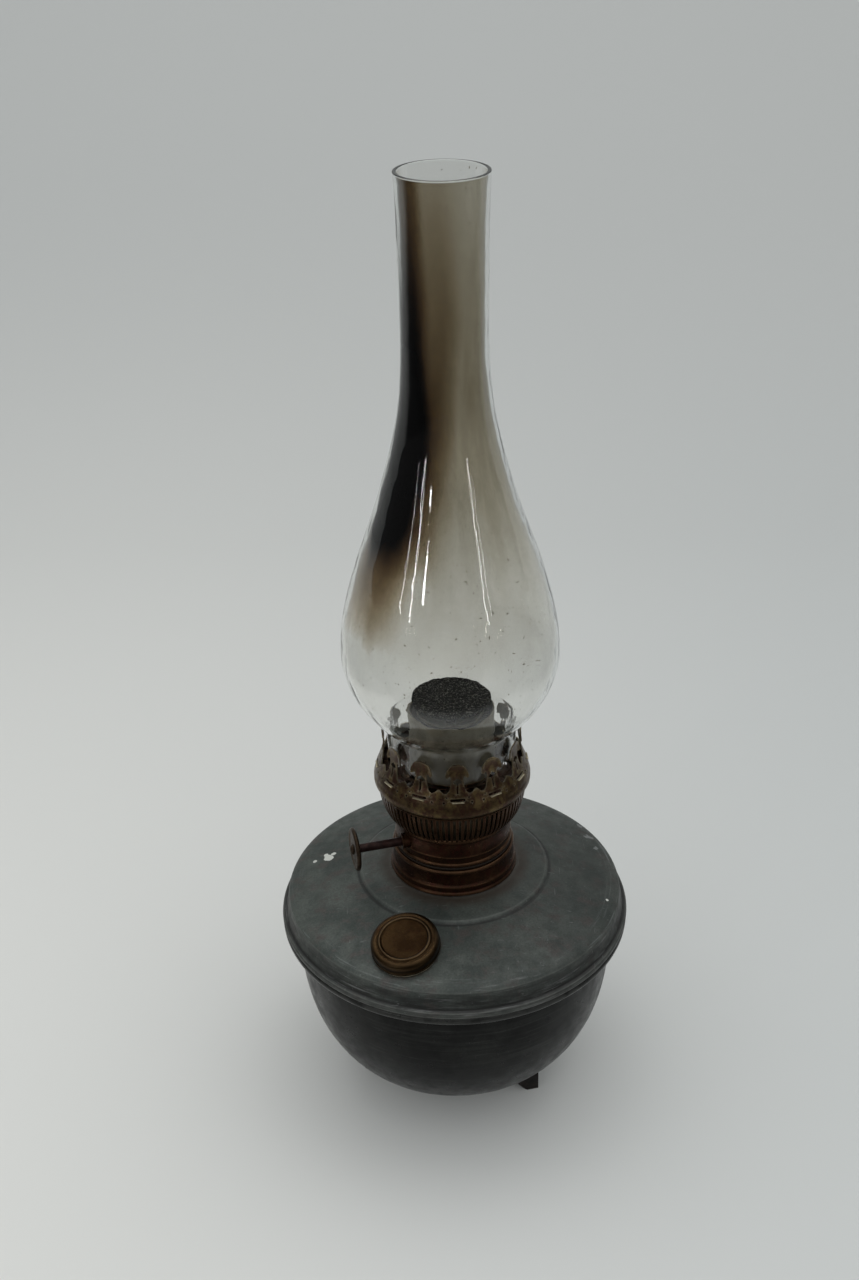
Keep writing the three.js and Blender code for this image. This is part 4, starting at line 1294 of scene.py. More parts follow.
@dataclass
class Font:
    """The oil font: a spun bowl, a domed top rolled on to it, and three bent feet."""

    bowl_radius: float = 74.6
    bowl_mouth: float = 92.4
    side_power: float = 2.51
    depth_power: float = 2.74
    wall: float = 1.0
    dome_crown: float = 123.5
    dome_fall: float = 0.002315
    centre_rise: float = 1.0
    step_inner: float = 43.4
    step_outer: float = 44.6
    plate_edge: float = 78.3
    plate_foot: float = 107.9
    skirt_radius: float = 79.5
    skirt_foot: float = 101.2
    collar_hole: float = 28.0
    steps: int = 144

    def bowl_curve(self, wall: float, points: int = 30) -> list[Point]:
        """The bowl's outline from its lowest point up to its mouth.

        Args:
            wall: how far inside the outer skin it lies.
            points: how many parts it has.

        Returns:
            Radius and height of each point.
        """
        bottom = bounds_mm("font_bowl")[0].z
        path = []
        for i in range(points + 1):
            angle = i / points * math.pi / 2
            radius = (self.bowl_radius - wall) * math.sin(angle) ** (2 / self.side_power)
            depth = (self.bowl_mouth - bottom - wall) * max(math.cos(angle), 0.0) ** (2 / self.depth_power)
            path.append((radius, self.bowl_mouth - depth))
        return path

    def bowl(self) -> None:
        """The bowl, with the bead that its seam is rolled into."""
        _, high = bounds_mm("font_bowl")
        bead, top = high.x, high.z
        flange = self.bowl_mouth + 0.3
        section = Outline().along(self.bowl_curve(0.0)[:-1]).to(self.bowl_radius, self.bowl_mouth - 0.5)
        section.to(self.bowl_radius + 0.6, flange, 0.5).to(bead - 1.1, flange, 0.5)
        section.to(bead, flange + 1.0, 0.9).to(bead, top - 0.9, 0.6).to(bead - 0.8, top, 0.3)
        section.to(self.bowl_radius - self.wall, top, 0.2).along(reversed(self.bowl_curve(self.wall)))
        mesh = section.turned(self.steps)
        uneven(mesh, 0.12, 40.0, lambda co: co.z > 0.0915)
        present("font_bowl_shell", mesh, Body.FONT, Finish.ZINC_BOWL, ("font_bowl",), reach=0.6)

    def dome(self, radius: float) -> float:
        """The height of the font's top at a radius."""
        rise = self.centre_rise if radius <= self.step_inner else 0.0
        return self.dome_crown + rise - self.dome_fall * radius * radius

    def top(self) -> None:
        """The domed top with its small step, its shoulder and its rolled rim."""
        low, high = bounds_mm("font_top")
        rim, seam = high.x, low.z
        near, far = self.step_inner, self.step_outer
        section = Outline()
        for i in range(5):
            radius = self.collar_hole + (near - self.collar_hole) * i / 5
            section.to(radius, self.dome(radius))
        section.to(near, self.dome(near), 0.6).to(far, self.dome(far), 0.15)
        for i in range(1, 10):
            radius = far + (self.plate_edge - 3.3 - far) * i / 9
            section.to(radius, self.dome(radius))
        edge, foot, skirt = self.plate_edge, self.plate_foot, self.skirt_radius
        section.to(edge - 1.6, foot + 1.7, 0.8).to(edge - 0.1, foot + 0.4, 0.4).to(edge + 0.1, foot - 0.5)
        section.to(edge + 0.35, 104.6, 1.2).to(skirt - 0.1, self.skirt_foot, 0.8)
        section.to(skirt + 0.4, 100.1, 0.2).to(rim - 0.5, 99.5, 0.3).to(rim, 98.6, 0.4)
        section.to(rim, 97.2, 0.5).to(rim - 0.6, seam, 0.2).to(self.bowl_radius - 0.7, seam)
        section.to(self.bowl_radius - 0.7, seam + 1.0).to(78.1, seam + 1.6).to(78.4, 101.3)
        section.to(76.8, 108.2, 0.8)
        for radius in (74.9, 60.0, far, near, 35.0, self.collar_hole):
            section.to(radius, self.dome(radius) - self.wall)
        filler = Filler()
        hole = rod_cutter(filler.neck_outer + 0.3, -6.0, 6.0, filler.place(), 72)
        mesh = carved(section.turned(self.steps), hole)
        present("font_top_plate", mesh, Body.FONT, Finish.ZINC_TOP, ("font_top",), reach=0.35)

    def feet(self) -> None:
        """The three bent feet, eased along their edges."""
        for node in ("foot_front", "foot_back", "foot_left"):
            present(node + "_sheet", refined(node, 0.3), Body.FONT, Finish.IRON, (node,), reach=0.3)

    def build(self) -> None:
        """Builds the bowl, the top and the feet."""
        self.bowl()
        self.top()
        self.feet()


# The burner


@dataclass
class BurnerBase:
    """The burner's lower part: the collar on the font, the seal, the threaded base and the body."""

    steps: int = 120
    collar_bore: float = 26.2
    collar_wall: float = 1.5
    cup_tube: float = 19.85
    cup_outer: float = 25.8
    cup_bore: float = 25.0
    body_outer: float = 26.5
    body_bore: float = 25.9

    def collar(self) -> None:
        """The collar soldered to the font, with three bands turned into it."""
        low, high = bounds_mm("burner_collar")
        bore, bottom, top, foot = self.collar_bore, low.z, high.z, high.x
        wall = bore + self.collar_wall
        section = Outline().to(bore, bottom).to(wall, bottom).to(wall, bottom + 4.0)
        section.to(foot, bottom + 4.0, 0.3).to(foot - 0.2, bottom + 4.9, 0.4)
        section.to(foot - 0.9, bottom + 5.6, 0.3).to(foot - 0.6, bottom + 7.0, 0.4)
        section.to(foot - 0.5, bottom + 8.2, 0.4).to(foot - 1.4, bottom + 9.2, 0.4)
        section.to(wall + 0.1, bottom + 11.5).to(wall, top - 2.1, 0.2).to(wall + 0.5, top - 1.5, 0.3)
        section.to(wall + 0.5, top - 0.6, 0.3).to(wall - 0.1, top, 0.2).to(bore, top, 0.15)
        present("burner_collar_rings", section.turned(self.steps), Body.FONT, Finish.BROWN_BRASS,
                ("burner_collar",))

    def seal(self) -> None:
        """The leather ring between collar and burner."""
        low, high = bounds_mm("burner_seal")
        section = Outline().to(self.collar_bore, low.z, 0.2).to(high.x, low.z, 0.3)
        section.to(high.x, high.z, 0.3).to(self.collar_bore, high.z, 0.2)
        present("burner_leather_ring", section.turned(self.steps), Body.BURNER_SEAL, Finish.LEATHER,
                ("burner_seal",))

    def base(self) -> None:
        """The cup that screws into the collar, with its thread and its flange."""
        low, high = bounds_mm("burner_base")
        tube, wall, bore = self.cup_tube, self.cup_outer, self.cup_bore
        flange, top = high.x, high.z
        section = Outline().to(tube, low.z).to(wall, low.z, 0.4).to(wall, top - 1.9)
        section.to(flange - 0.4, top - 1.9, 0.2).to(flange, top - 1.2, 0.4)
        section.to(flange - 0.2, top - 0.4, 0.3).to(flange - 0.8, top, 0.2).to(bore, top, 0.2)
        section.to(bore, low.z + 1.0, 0.3).to(tube, low.z + 1.0)
        present("burner_base_cup", section.turned(self.steps), Body.BURNER, Finish.BROWN_BRASS,
                ("burner_base",))
        ridge = thread(wall, low.z + 1.0, top - 2.6, 1.8, 0.3)
        present("burner_base_thread", ridge, Body.BURNER, Finish.BROWN_BRASS)

    def body(self) -> None:
        """The body above it, pierced for the raiser's bush."""
        low, high = bounds_mm("burner_body")
        wall, bore = self.body_outer, self.body_bore
        section = Outline().to(bore, low.z, 0.1).to(wall, low.z, 0.15)
        section.to(wall, low.z + 2.2).to(wall + 0.35, low.z + 2.8, 0.3)
        section.to(wall, low.z + 3.4).to(wall - 0.1, high.z - 2.0, 0.2)
        section.to(high.x, high.z - 1.2, 0.3).to(high.x, high.z - 0.5, 0.3).to(wall, high.z, 0.15)
        section.to(bore, high.z, 0.1)
        hole = rod_cutter(3.6, -5.0, 4.0, WickRaiser().place(), 32)
        mesh = carved(section.turned(self.steps), hole)
        present("burner_body_band", mesh, Body.BURNER, Finish.BROWN_BRASS, ("burner_body",))

    def build(self) -> None:
        """Builds the collar, the seal, the base and the body."""
        self.collar()
        self.seal()
        self.base()
        self.body()


@dataclass
class WickRaiser:
    """The knob and spindle that turn a pinion against the wick's rack."""

    entry: tuple[float, float, float] = (-21.2, -15.3, 144.5)
    azimuth: float = 14.9
    knob_distance: float = 24.2
    knob_radius: float = 10.0
    spindle_radius: float = 2.0

    def place(self) -> Matrix:
        """The spindle's frame: its Z axis runs from the knob towards the wick."""
        turned = Matrix.Rotation(math.radians(self.azimuth), 4, "Z") @ Matrix.Rotation(math.pi / 2, 4, "Y")
        return place_mm(*self.entry) @ turned

    def bush(self) -> None:
        """The small flanged bush that the spindle turns in."""
        section = Outline().to(2.3, -2.6, 0.1).to(3.9, -2.6, 0.2).to(3.9, -2.0, 0.2).to(3.2, -1.9, 0.1)
        section.to(3.2, 1.1, 0.1).to(2.3, 1.1, 0.1)
        present("spindle_bush_flange", section.turned(40, self.place()), Body.BURNER, Finish.BROWN_BRASS,
                ("spindle_bush",))

    def spindle(self) -> None:
        """The spindle, turned down where it carries the knob and the pinion."""
        outer = -self.knob_distance - 1.2
        inner = -self.knob_distance + 1.5
        section = Outline().to(0.0, outer - 0.1).to(1.2, outer - 0.1).to(1.2, inner)
        section.to(self.spindle_radius, inner, 0.3).to(self.spindle_radius, 2.1, 0.2)
        section.to(1.2, 2.1).to(1.2, 5.6, 0.2).to(0.0, 5.6)
        present("raiser_spindle_rod", section.turned(40, self.place()), Body.RAISER, Finish.BROWN_STEEL,
                ("raiser_spindle",))

    def knob(self) -> None:
        """The thin dished knob with its rolled edge and its rivet."""
        face = -self.knob_distance - 1.2
        back = -self.knob_distance + 1.2
        edge = self.knob_radius
        section = Outline().to(1.5, face + 0.5).to(3.6, face + 0.55, 0.6).to(7.6, face + 0.75, 0.8)
        section.to(8.9, face, 0.7).to(edge, face + 0.8, 0.7).to(edge, back - 0.8, 0.5)
        section.to(9.2, back, 0.5).to(8.2, back - 0.3, 0.4).to(4.2, back - 0.2, 0.5).to(3.2, back, 0.3)
        section.to(1.5, back)
        mesh = section.turned(72, self.place())
        present("raiser_knob_plate", mesh, Body.RAISER, Finish.KNOB_BRASS, ("raiser_knob",), reach=0.5)
        head = Outline().to(0.0, face - 1.2).to(1.2, face - 1.05, 0.4).to(2.3, face - 0.3, 0.5)
        head.to(2.4, face + 0.2).to(1.5, face + 0.2).to(1.5, face - 0.4).to(0.0, face - 0.4)
        present("raiser_knob_rivet", head.turned(32, self.place()), Body.RAISER, Finish.KNOB_BRASS,
                ("knob_rivet",))

    def gears(self) -> None:
        """The pinion, and the rack on the wick's carrier."""
        present("raiser_pinion_teeth", refined("raiser_pinion", 0.06, 1), Body.RAISER, Finish.GOLD_BRASS,
                ("raiser_pinion",), reach=0.1)
        present("wick_rack_teeth", refined("wick_rack", 0.06, 1), Body.WICK, Finish.GOLD_BRASS,
                ("wick_rack",), reach=0.1)

    def build(self) -> None:
        """Builds the bush, the spindle, the knob and the gears."""
        self.bush()
        self.spindle()
        self.knob()
        self.gears()


@dataclass
class Gallery:
    """The slotted basket, the pierced crown that holds the glass, and the ledge under it.

    The crown is drawn flat, one sector with one prong at a time, and then bent round.
    """

    ribs: int = 84
    rib_steps: int = 4
    slot_bottom: float = 153.2
    slot_top: float = 167.8
    sheet: float = 0.6
    prongs: int = 12
    prong_azimuth: float = -86.0
    flat_radius: float = 31.9
    crown_foot: float = 169.0
    crown_top: float = 195.5
    column_width: float = 1.6
    lip_height: float = 177.75
    ledge_bore: float = 20.1
    air_holes: int = 10
    air_hole_radius: float = 1.9
    air_hole_circle: float = 24.2

    def basket(self) -> None:
        """The basket: a flared sheet with a slot between each two ribs."""
        low, high = bounds_mm("gallery_basket")
        section = Outline().to(26.9, low.z).to(27.0, low.z + 0.8, 0.3)
        section.along(curve((27.6, 152.6), (31.2, 155.2), (32.4, 160.5), (33.3, high.z - 0.9), 12))
        mesh = section.to(high.x, high.z).drawn(closed=False)
        bmesh.ops.spin(mesh, geom=mesh.verts[:] + mesh.edges[:], cent=(0, 0, 0), axis=(0, 0, 1),
                       angle=TURN, steps=self.ribs * self.rib_steps, use_merge=True)
        bmesh.ops.remove_doubles(mesh, verts=mesh.verts, dist=1e-7)
        slots = [face for face in mesh.faces if self.in_slot(face.calc_center_median())]
        bmesh.ops.delete(mesh, geom=slots, context="FACES")
        bmesh.ops.recalc_face_normals(mesh, faces=mesh.faces)
        bmesh.ops.solidify(mesh, geom=mesh.faces[:], thickness=self.sheet * MM)
        present("gallery_basket_ribs", mesh, Body.BURNER, Finish.BROWN_BRASS, ("gallery_basket",),
                reach=0.25)

    def in_slot(self, middle: Vector) -> bool:
        """Whether a face's middle lies in one of the basket's slots."""
        around = math.atan2(middle.y, middle.x) / TURN * self.ribs % 1.0
        return self.slot_bottom * MM < middle.z < self.slot_top * MM and around < 0.5

    def crown_radius(self, height: float) -> float:
        """The crown's outer radius at a height.

        Args:
            height: in millimetres.

        Returns:
            The radius, in millimetres.
        """
        beaded_band = [(self.crown_foot, 34.2), (169.6, 35.1), (170.6, 35.6), (172.6, 35.6), (173.8, 35.2)]
        cone = [(175.6, 34.9), (178.6, 33.7), (183.2, 31.9)]
        upright_prongs = [(188.0, 31.1), (192.0, 30.95), (195.6, 31.5)]
        stations = beaded_band + cone + upright_prongs
        for (z0, r0), (z1, r1) in zip(stations, stations[1:]):
            if height <= z1:
                return r0 + (r1 - r0) * max(0.0, (height - z0) / (z1 - z0))
        return stations[-1][1]

    def half_sector(self) -> float:
        """Half the width of one prong's sector when it lies flat, in millimetres."""
        return math.pi * self.flat_radius / self.prongs

    def sector_outline(self) -> list[Point]:
        """One prong and half the gap on each side of it, flat: distance across and height.

        Returns:
            The points, clockwise from the top.
        """
        half = self.half_sector()
        head = ((2.6, self.crown_top), (4.6, 193.6), (5.2, 190.2))
        rim_of_head = ((5.3, 189.4), (5.0, 188.5), (4.5, 188.6))
        notch = ((3.9, 188.8), (3.5, 189.6), (3.0, 189.0))
        neck = ((2.5, 187.8), (2.7, 186.8), (2.9, 185.6))
        foot = ((3.1, 183.8), (3.6, 181.6), (5.3, 181.2))
        gap = ((6.6, 181.0), (7.2, 182.6), (half, 182.9))
        right = [(0.0, self.crown_top)]
        for bend in (head, rim_of_head, notch, neck, foot, gap):
            right += curve(right[-1], *bend, 7)[1:]
        return whole([*right, (half, self.crown_foot)])

    def piercings(self) -> list[list[Point]]:
        """The holes in one sector: the slit, the tee, and round holes beside the prong.

        Returns:
            The outline of each hole.
        """
        slit = [(2.9, 178.0), (3.3, 178.4), (3.3, 178.8), (2.9, 179.2)]
        tee = [(0.4, 181.2), (0.5, 185.6), (1.9, 185.9), (2.0, 186.9), (1.0, 187.7), (0.0, 188.3)]
        holes = [whole(slit), whole(tee)]
        for inset, height, size in ((2.5, 177.4, 0.55), (3.6, 179.6, 0.4)):
            for side in (-1, 1):
                middle = side * (self.half_sector() - inset)
                turns = [k * TURN / 8 for k in range(8)]
                holes.append([(middle + size * math.cos(t), height + size * math.sin(t)) for t in turns])
        return holes

    def flat_sector(self) -> BMesh:
        """One sector of the crown, flat, pierced, and cut wherever it has to bend.

        Returns:
            A mesh in the XY plane.
        """
        mesh = bmesh.new()
        for outline in (self.sector_outline(), *self.piercings()):
            corners = [mesh.verts.new((u * MM, v * MM, 0)) for u, v in outline]
            for start, end in zip(corners, corners[1:] + corners[:1]):
                mesh.edges.new((start, end))
        bmesh.ops.triangle_fill(mesh, use_beauty=True, use_dissolve=False, edges=mesh.edges[:],
                                normal=(0, 0, 1))
        band = [170.0, 170.6, 171.6, 172.6, 173.4, 174.2, 175.0, 176.0, 177.0]
        cone = [178.6, 180.0, 181.6, 183.2, 184.8, 186.4]
        prong = [188.0, 190.0, 192.0, 194.0]
        cuts = [((0, height * MM, 0), (0, 1, 0)) for height in (*band, *cone, *prong)]
        cuts += [((self.column_width * i * MM, 0, 0), (1, 0, 0)) for i in range(-4, 5)]
        for point, normal in cuts:
            bmesh.ops.bisect_plane(mesh, geom=mesh.verts[:] + mesh.edges[:] + mesh.faces[:], dist=1e-7,
                                   plane_co=point, plane_no=normal)
        return mesh

    def bent(self, flat: Vector) -> Vector:
        """Where a point of the flat sector ends up on the crown, which hooks at the prongs' heads.

        Args:
            flat: distance across and height, in metres.

        Returns:
            The point, in metres.
        """
        across, height = flat.x / MM, flat.y / MM
        angle = across / self.half_sector() * math.pi / self.prongs
        hook = max(0.0, abs(across) - 3.4) * 0.35 if height > 187.5 else 0.0
        radius = self.crown_radius(height) + hook
        return Vector((radius * math.cos(angle), radius * math.sin(angle), height)) * MM

    def crown(self) -> None:
        """The crown: a sector is bent round and repeated, and gets its thickness."""
        mesh = self.flat_sector()
        for corner in mesh.verts:
            corner.co = self.bent(corner.co)
        bmesh.ops.spin(mesh, geom=mesh.verts[:] + mesh.edges[:] + mesh.faces[:], cent=(0, 0, 0),
                       axis=(0, 0, 1), angle=TURN * (self.prongs - 1) / self.prongs,
                       steps=self.prongs - 1, use_duplicate=True)
        bmesh.ops.remove_doubles(mesh, verts=mesh.verts, dist=3e-6)
        bmesh.ops.rotate(mesh, verts=mesh.verts, cent=(0, 0, 0),
                         matrix=Matrix.Rotation(math.radians(self.prong_azimuth), 3, "Z"))
        bmesh.ops.recalc_face_normals(mesh, faces=mesh.faces)
        outwards = sum(face.normal.dot(face.calc_center_median().xy.to_3d()) for face in mesh.faces)
        if outwards < 0:
            bmesh.ops.reverse_faces(mesh, faces=mesh.faces)
        bmesh.ops.solidify(mesh, geom=mesh.faces[:], thickness=self.sheet * MM)
        present("gallery_crown_prongs", mesh, Body.BURNER, Finish.GOLD_BRASS, ("gallery_crown",),
                reach=0.06)

    def lips(self) -> None:
        """The thin lips turned out below the crown's slits, given the full pale edge colour as a painted
        glint.
        """
        mesh = bmesh.new()
        middle = Vector((self.crown_radius(self.lip_height) + 0.1, 0.0, self.lip_height)) * MM
        for i in range(self.prongs):
            corners = bmesh.ops.create_cube(mesh, size=1.0)["verts"]
            bmesh.ops.scale(mesh, vec=Vector((1.0, 5.4, 0.4)) * MM, verts=corners)
            bmesh.ops.translate(mesh, vec=middle, verts=corners)
            turned = Matrix.Rotation(math.radians(self.prong_azimuth) + i * TURN / self.prongs, 3, "Z")
            bmesh.ops.rotate(mesh, verts=corners, cent=(0, 0, 0), matrix=turned)
        bmesh.ops.bevel(mesh, geom=mesh.edges[:], offset=0.1 * MM, offset_type="OFFSET", segments=2,
                        profile=0.5, affect="EDGES", material=-1, clamp_overlap=True)
        # A reach of 1.5 mm gives the whole lip the pale edge colour: a painted glint.
        present("gallery_crown_lips", mesh, Body.BURNER, Finish.GOLD_BRASS, reach=1.5)

    def ledge(self) -> None:
        """The ledge that the glass stands on, with its ring of air holes."""
        low, high = bounds_mm("chimney_ledge")
        top = low.z + 0.9
        bore, rim = self.ledge_bore, self.ledge_bore + self.sheet
        section = Outline().to(bore, low.z).to(high.x, low.z, 0.2).to(high.x, top, 0.2)
        section.to(rim, top, 0.3).to(rim, high.z, 0.15).to(bore, high.z, 0.15)
        holes = []
        for i in range(self.air_holes):
            turned = Matrix.Rotation(i * TURN / self.air_holes, 4, "Z")
            place = turned @ place_mm(self.air_hole_circle, 0, 0)
            holes.append(rod_cutter(self.air_hole_radius, low.z - 2, top + 2, place))
        mesh = carved(section.turned(96), *holes)
        present("chimney_ledge_plate", mesh, Body.BURNER, Finish.BROWN_BRASS, ("chimney_ledge",))

    def build(self) -> None:
        """Builds the basket, the crown with its lips, and the ledge."""
        self.basket()
        self.crown()
        self.lips()
        self.ledge()


@dataclass
class WickTubes:
    """The two wick tubes, the wick between them, and the flame disc on its stem."""

    outer_bore: float = 18.95
    outer_radius: float = 19.55
    window: float = 15.0
    rack_azimuth: float = 208.3
    disc_radius: float = 18.0
    wick_outer: float = 17.85
    wick_inner: float = 15.5
    cloth_width: float = 0.105
    cloth_length: float = 0.1815
    cloth_area: float = 0.0123

    def outer(self) -> None:
        """The outer tube, drawn in at its mouth, with its air window and rack slot."""
        low, high = bounds_mm("outer_wick_tube")
        section = Outline().to(self.outer_bore, low.z).to(self.outer_radius, low.z, 0.1)
        section.to(self.outer_radius, high.z - 2.8, 1.0).to(19.2, high.z, 0.2).to(18.6, high.z, 0.2)
        section.to(self.outer_bore, high.z - 2.8, 1.0)
        slot = Matrix.Rotation(math.radians(self.rack_azimuth), 4, "Z")
        cutters = [
            box_cutter((-self.window / 2, 16.0, 152.5), (self.window / 2, 22.0, 165.5)),
            box_cutter((16.0, -1.6, 125.8), (22.0, 1.6, 144.0), slot),
        ]
        mesh = carved(section.turned(96), *cutters)
        present("outer_wick_tube_wall", mesh, Body.BURNER, Finish.TUBE_BRASS, ("outer_wick_tube",))

    def inner(self) -> None:
        """The inner tube with its duct, and the spider that holds the disc's stem."""
        present("inner_wick_tube_wall", refined("inner_wick_tube", 0.1, 1), Body.BURNER, Finish.TUBE_BRASS,
                ("inner_wick_tube",), reach=0.2)
        present("stem_spider_arms", refined("stem_spider", 0.15), Body.BURNER, Finish.TUBE_BRASS,
                ("stem_spider",), reach=0.2)

    def wick(self) -> None:
        """The cotton wick, slit at the back for the air duct, with its two tails."""
        low, high = bounds_mm("wick")
        section = Outline().to(self.wick_inner, low.z, 0.4).to(self.wick_outer, low.z, 0.4)
        for i in range(1, 60):
            section.to(self.wick_outer, low.z + (high.z - low.z) * i / 60)
        section.to(self.wick_outer, high.z, 0.5).to(self.wick_inner, high.z, 0.5)
        cutters = [
            box_cutter((-7.7, 8.0, 120.0), (7.7, 22.0, 178.0)),
            box_cutter((-12.0, 8.0, low.z - 1), (12.0, 22.0, 150.0)),
            box_cutter((-12.0, -22.0, low.z - 1), (12.0, -8.0, 132.0)),
        ]
        mesh = carved(section.turned(120), *cutters)
        sleeve = present("cotton_wick_sleeve", mesh, Body.WICK, Finish.COTTON, ("wick",))

    def carrier(self) -> None:
        """The sleeve that grips the wick and carries the rack."""
        present("wick_carrier_sleeve", refined("wick_carrier", 0.1, 1), Body.WICK, Finish.GOLD_BRASS,
                ("wick_carrier",), reach=0.2)

    def disc(self) -> None:
        """The flame disc, gritty with soot, and its stem."""
        low, high = bounds_mm("flame_disc")
        top = high.z - 0.25
        section = Outline().along((i * 17.3 / 24, top + 0.15) for i in range(24))
        section.to(self.disc_radius - 0.1, top, 0.4).to(self.disc_radius - 0.1, top - 0.9, 0.3)
        section.to(17.4, top - 1.2).to(3.0, top - 1.2, 0.4).to(3.0, low.z, 0.2).to(1.7, low.z, 0.1)
        section.to(1.7, top - 1.6).to(0.0, top - 1.6)
        mesh = section.turned(120)
        uneven_top = (top - 1.0) * MM
        for corner in mesh.verts:
            if corner.co.z > uneven_top:
                coarse = noise.noise(corner.co / (1.3 * MM)) * 0.5
                fine = noise.noise(corner.co / (0.6 * MM)) * 0.25
                corner.co.z += min(max(coarse + fine, -0.4), 0.2) * 0.4 * MM
        present("flame_disc_plate", mesh, Body.DISC, Finish.SOOTED_DISC, ("flame_disc",), sharpest=60.0)
        stem_low, stem_high = bounds_mm("disc_stem")
        stem = Outline().to(0.0, stem_low.z).to(1.0, stem_low.z, 0.2).to(1.4, stem_low.z + 1.0)
        stem.to(1.4, 198.3).to(2.5, 198.3, 0.2).to(2.5, 199.3, 0.2).to(1.4, 199.3)
        stem.to(1.4, stem_high.z).to(0.0, stem_high.z)
        present("disc_stem_rod", stem.turned(32), Body.DISC, Finish.BROWN_STEEL, ("disc_stem",))

    def build(self) -> None:
        """Builds the tubes, the wick and the disc."""
        self.outer()
        self.inner()
        self.wick()
        self.carrier()
        self.disc()


# The chimney


@dataclass
class Chimney:
    """The blown glass: a straight foot, a bulb and a long throat with a small flare."""

    wall: float = 1.5
    foot_radius: float = 28.9
    crease: float = 199.6
    bulb_radius: float = 47.7
    bulb_height: float = 236.0
    throat_radius: float = 17.7
    throat_height: float = 375.0
    lip_radius: float = 18.9
    steps: int = 160
    curve_points: int = 26

    def outer_curve(self) -> list[Point]:
        """The outer wall from the foot to the lip.

        Returns:
            Radius and height of each point.
        """
        low, high = bounds_mm("chimney_glass")
        bulb, height = self.bulb_radius, self.bulb_height
        throat, narrowest = self.throat_radius, self.throat_height
        foot = [(self.foot_radius, low.z + 0.7 + (self.crease - low.z - 1.2) * i / 6) for i in range(7)]
        foot.append((self.foot_radius + 0.05, self.crease - 0.1))
        above_crease = (self.foot_radius + 0.5, self.crease + 0.5)
        widest, waist = (bulb, height), (throat, narrowest)
        mouth = (self.lip_radius - 0.2, high.z - 0.9)
        lower = curve(above_crease, (38.6, 209.0), (bulb, height - 15), widest, self.curve_points)
        upper = curve(widest, (bulb, height + 42), (throat, narrowest - 62), waist, self.curve_points)
        lip = curve(upper[-1], (throat, 405.0), (18.0, 428.0), mouth, self.curve_points)
        return [*foot, *lower, *upper[1:], *lip[1:]]

    def inner_curve(self, outer: list[Point]) -> list[Point]:
        """The inner wall: each outer point moved in by the wall's thickness.

        Args:
            outer: the outer wall's points.

        Returns:
            The inner wall's points, in the same order.
        """
        inner = []
        for i, (radius, height) in enumerate(outer):
            before, after = outer[max(i - 1, 0)], outer[min(i + 1, len(outer) - 1)]
            along = Vector((after[0] - before[0], after[1] - before[1])).normalized()
            inner.append((radius - along.y * self.wall, height + along.x * self.wall))
        return inner

    def build(self) -> None:
        """Builds the glass, with the smoked material on its inner wall."""
        low, high = bounds_mm("chimney_glass")
        outer = self.outer_curve()
        inner = self.inner_curve(outer)
        inner[0] = (inner[0][0], outer[0][1])
        section = Outline().along(outer).to(self.lip_radius - 0.1, high.z, 0.35)
        section.to(self.lip_radius - self.wall - 0.2, high.z, 0.35)
        section.along(reversed(inner)).to(self.foot_radius - self.wall + 0.2, low.z, 0.25)
        section.to(self.foot_radius - 0.2, low.z, 0.25)
        mesh = section.turned(self.steps)
        for face in mesh.faces:
            middle = face.calc_center_median()
            inwards = face.normal.dot(Vector((middle.x, middle.y, 0.0))) < 0
            upright = low.z + 2 < middle.z / MM < high.z - 1.0
            face.material_index = 1 if inwards and upright else 0
        uneven(mesh, 0.22, 26.0, lambda co: co.z > (high.z - 4) * MM or co.z < self.crease * MM)
        present("chimney_glass_wall", mesh, Body.CHIMNEY, Finish.GLASS, ("chimney_glass",))


# The studio


@dataclass(frozen=True)
class SoftLight:
    """An area light that faces the lamp: degrees from +X and up, metres and watts."""

    name: str
    azimuth: float
    elevation: float
    size: Point
    power: float
    distance: float = 1.6
    aimed_at: float = 0.25

    def build(self) -> None:
        """Puts the light in the scene."""
        data = bpy.data.lights.new(self.name, "AREA")
        data.shape = "RECTANGLE"
        data.size, data.size_y = self.size
        data.energy = self.power
        light = bpy.data.objects.new(self.name, data)
        a, e = math.radians(self.azimuth), math.radians(self.elevation)
        offset = Vector((math.cos(a) * math.cos(e), math.sin(a) * math.cos(e), math.sin(e)))
        light.location = Vector((0.0, 0.0, self.aimed_at)) + offset * self.distance
        light.rotation_euler = offset.to_track_quat("Z", "Y").to_euler()
        bpy.context.scene.collection.objects.link(light)


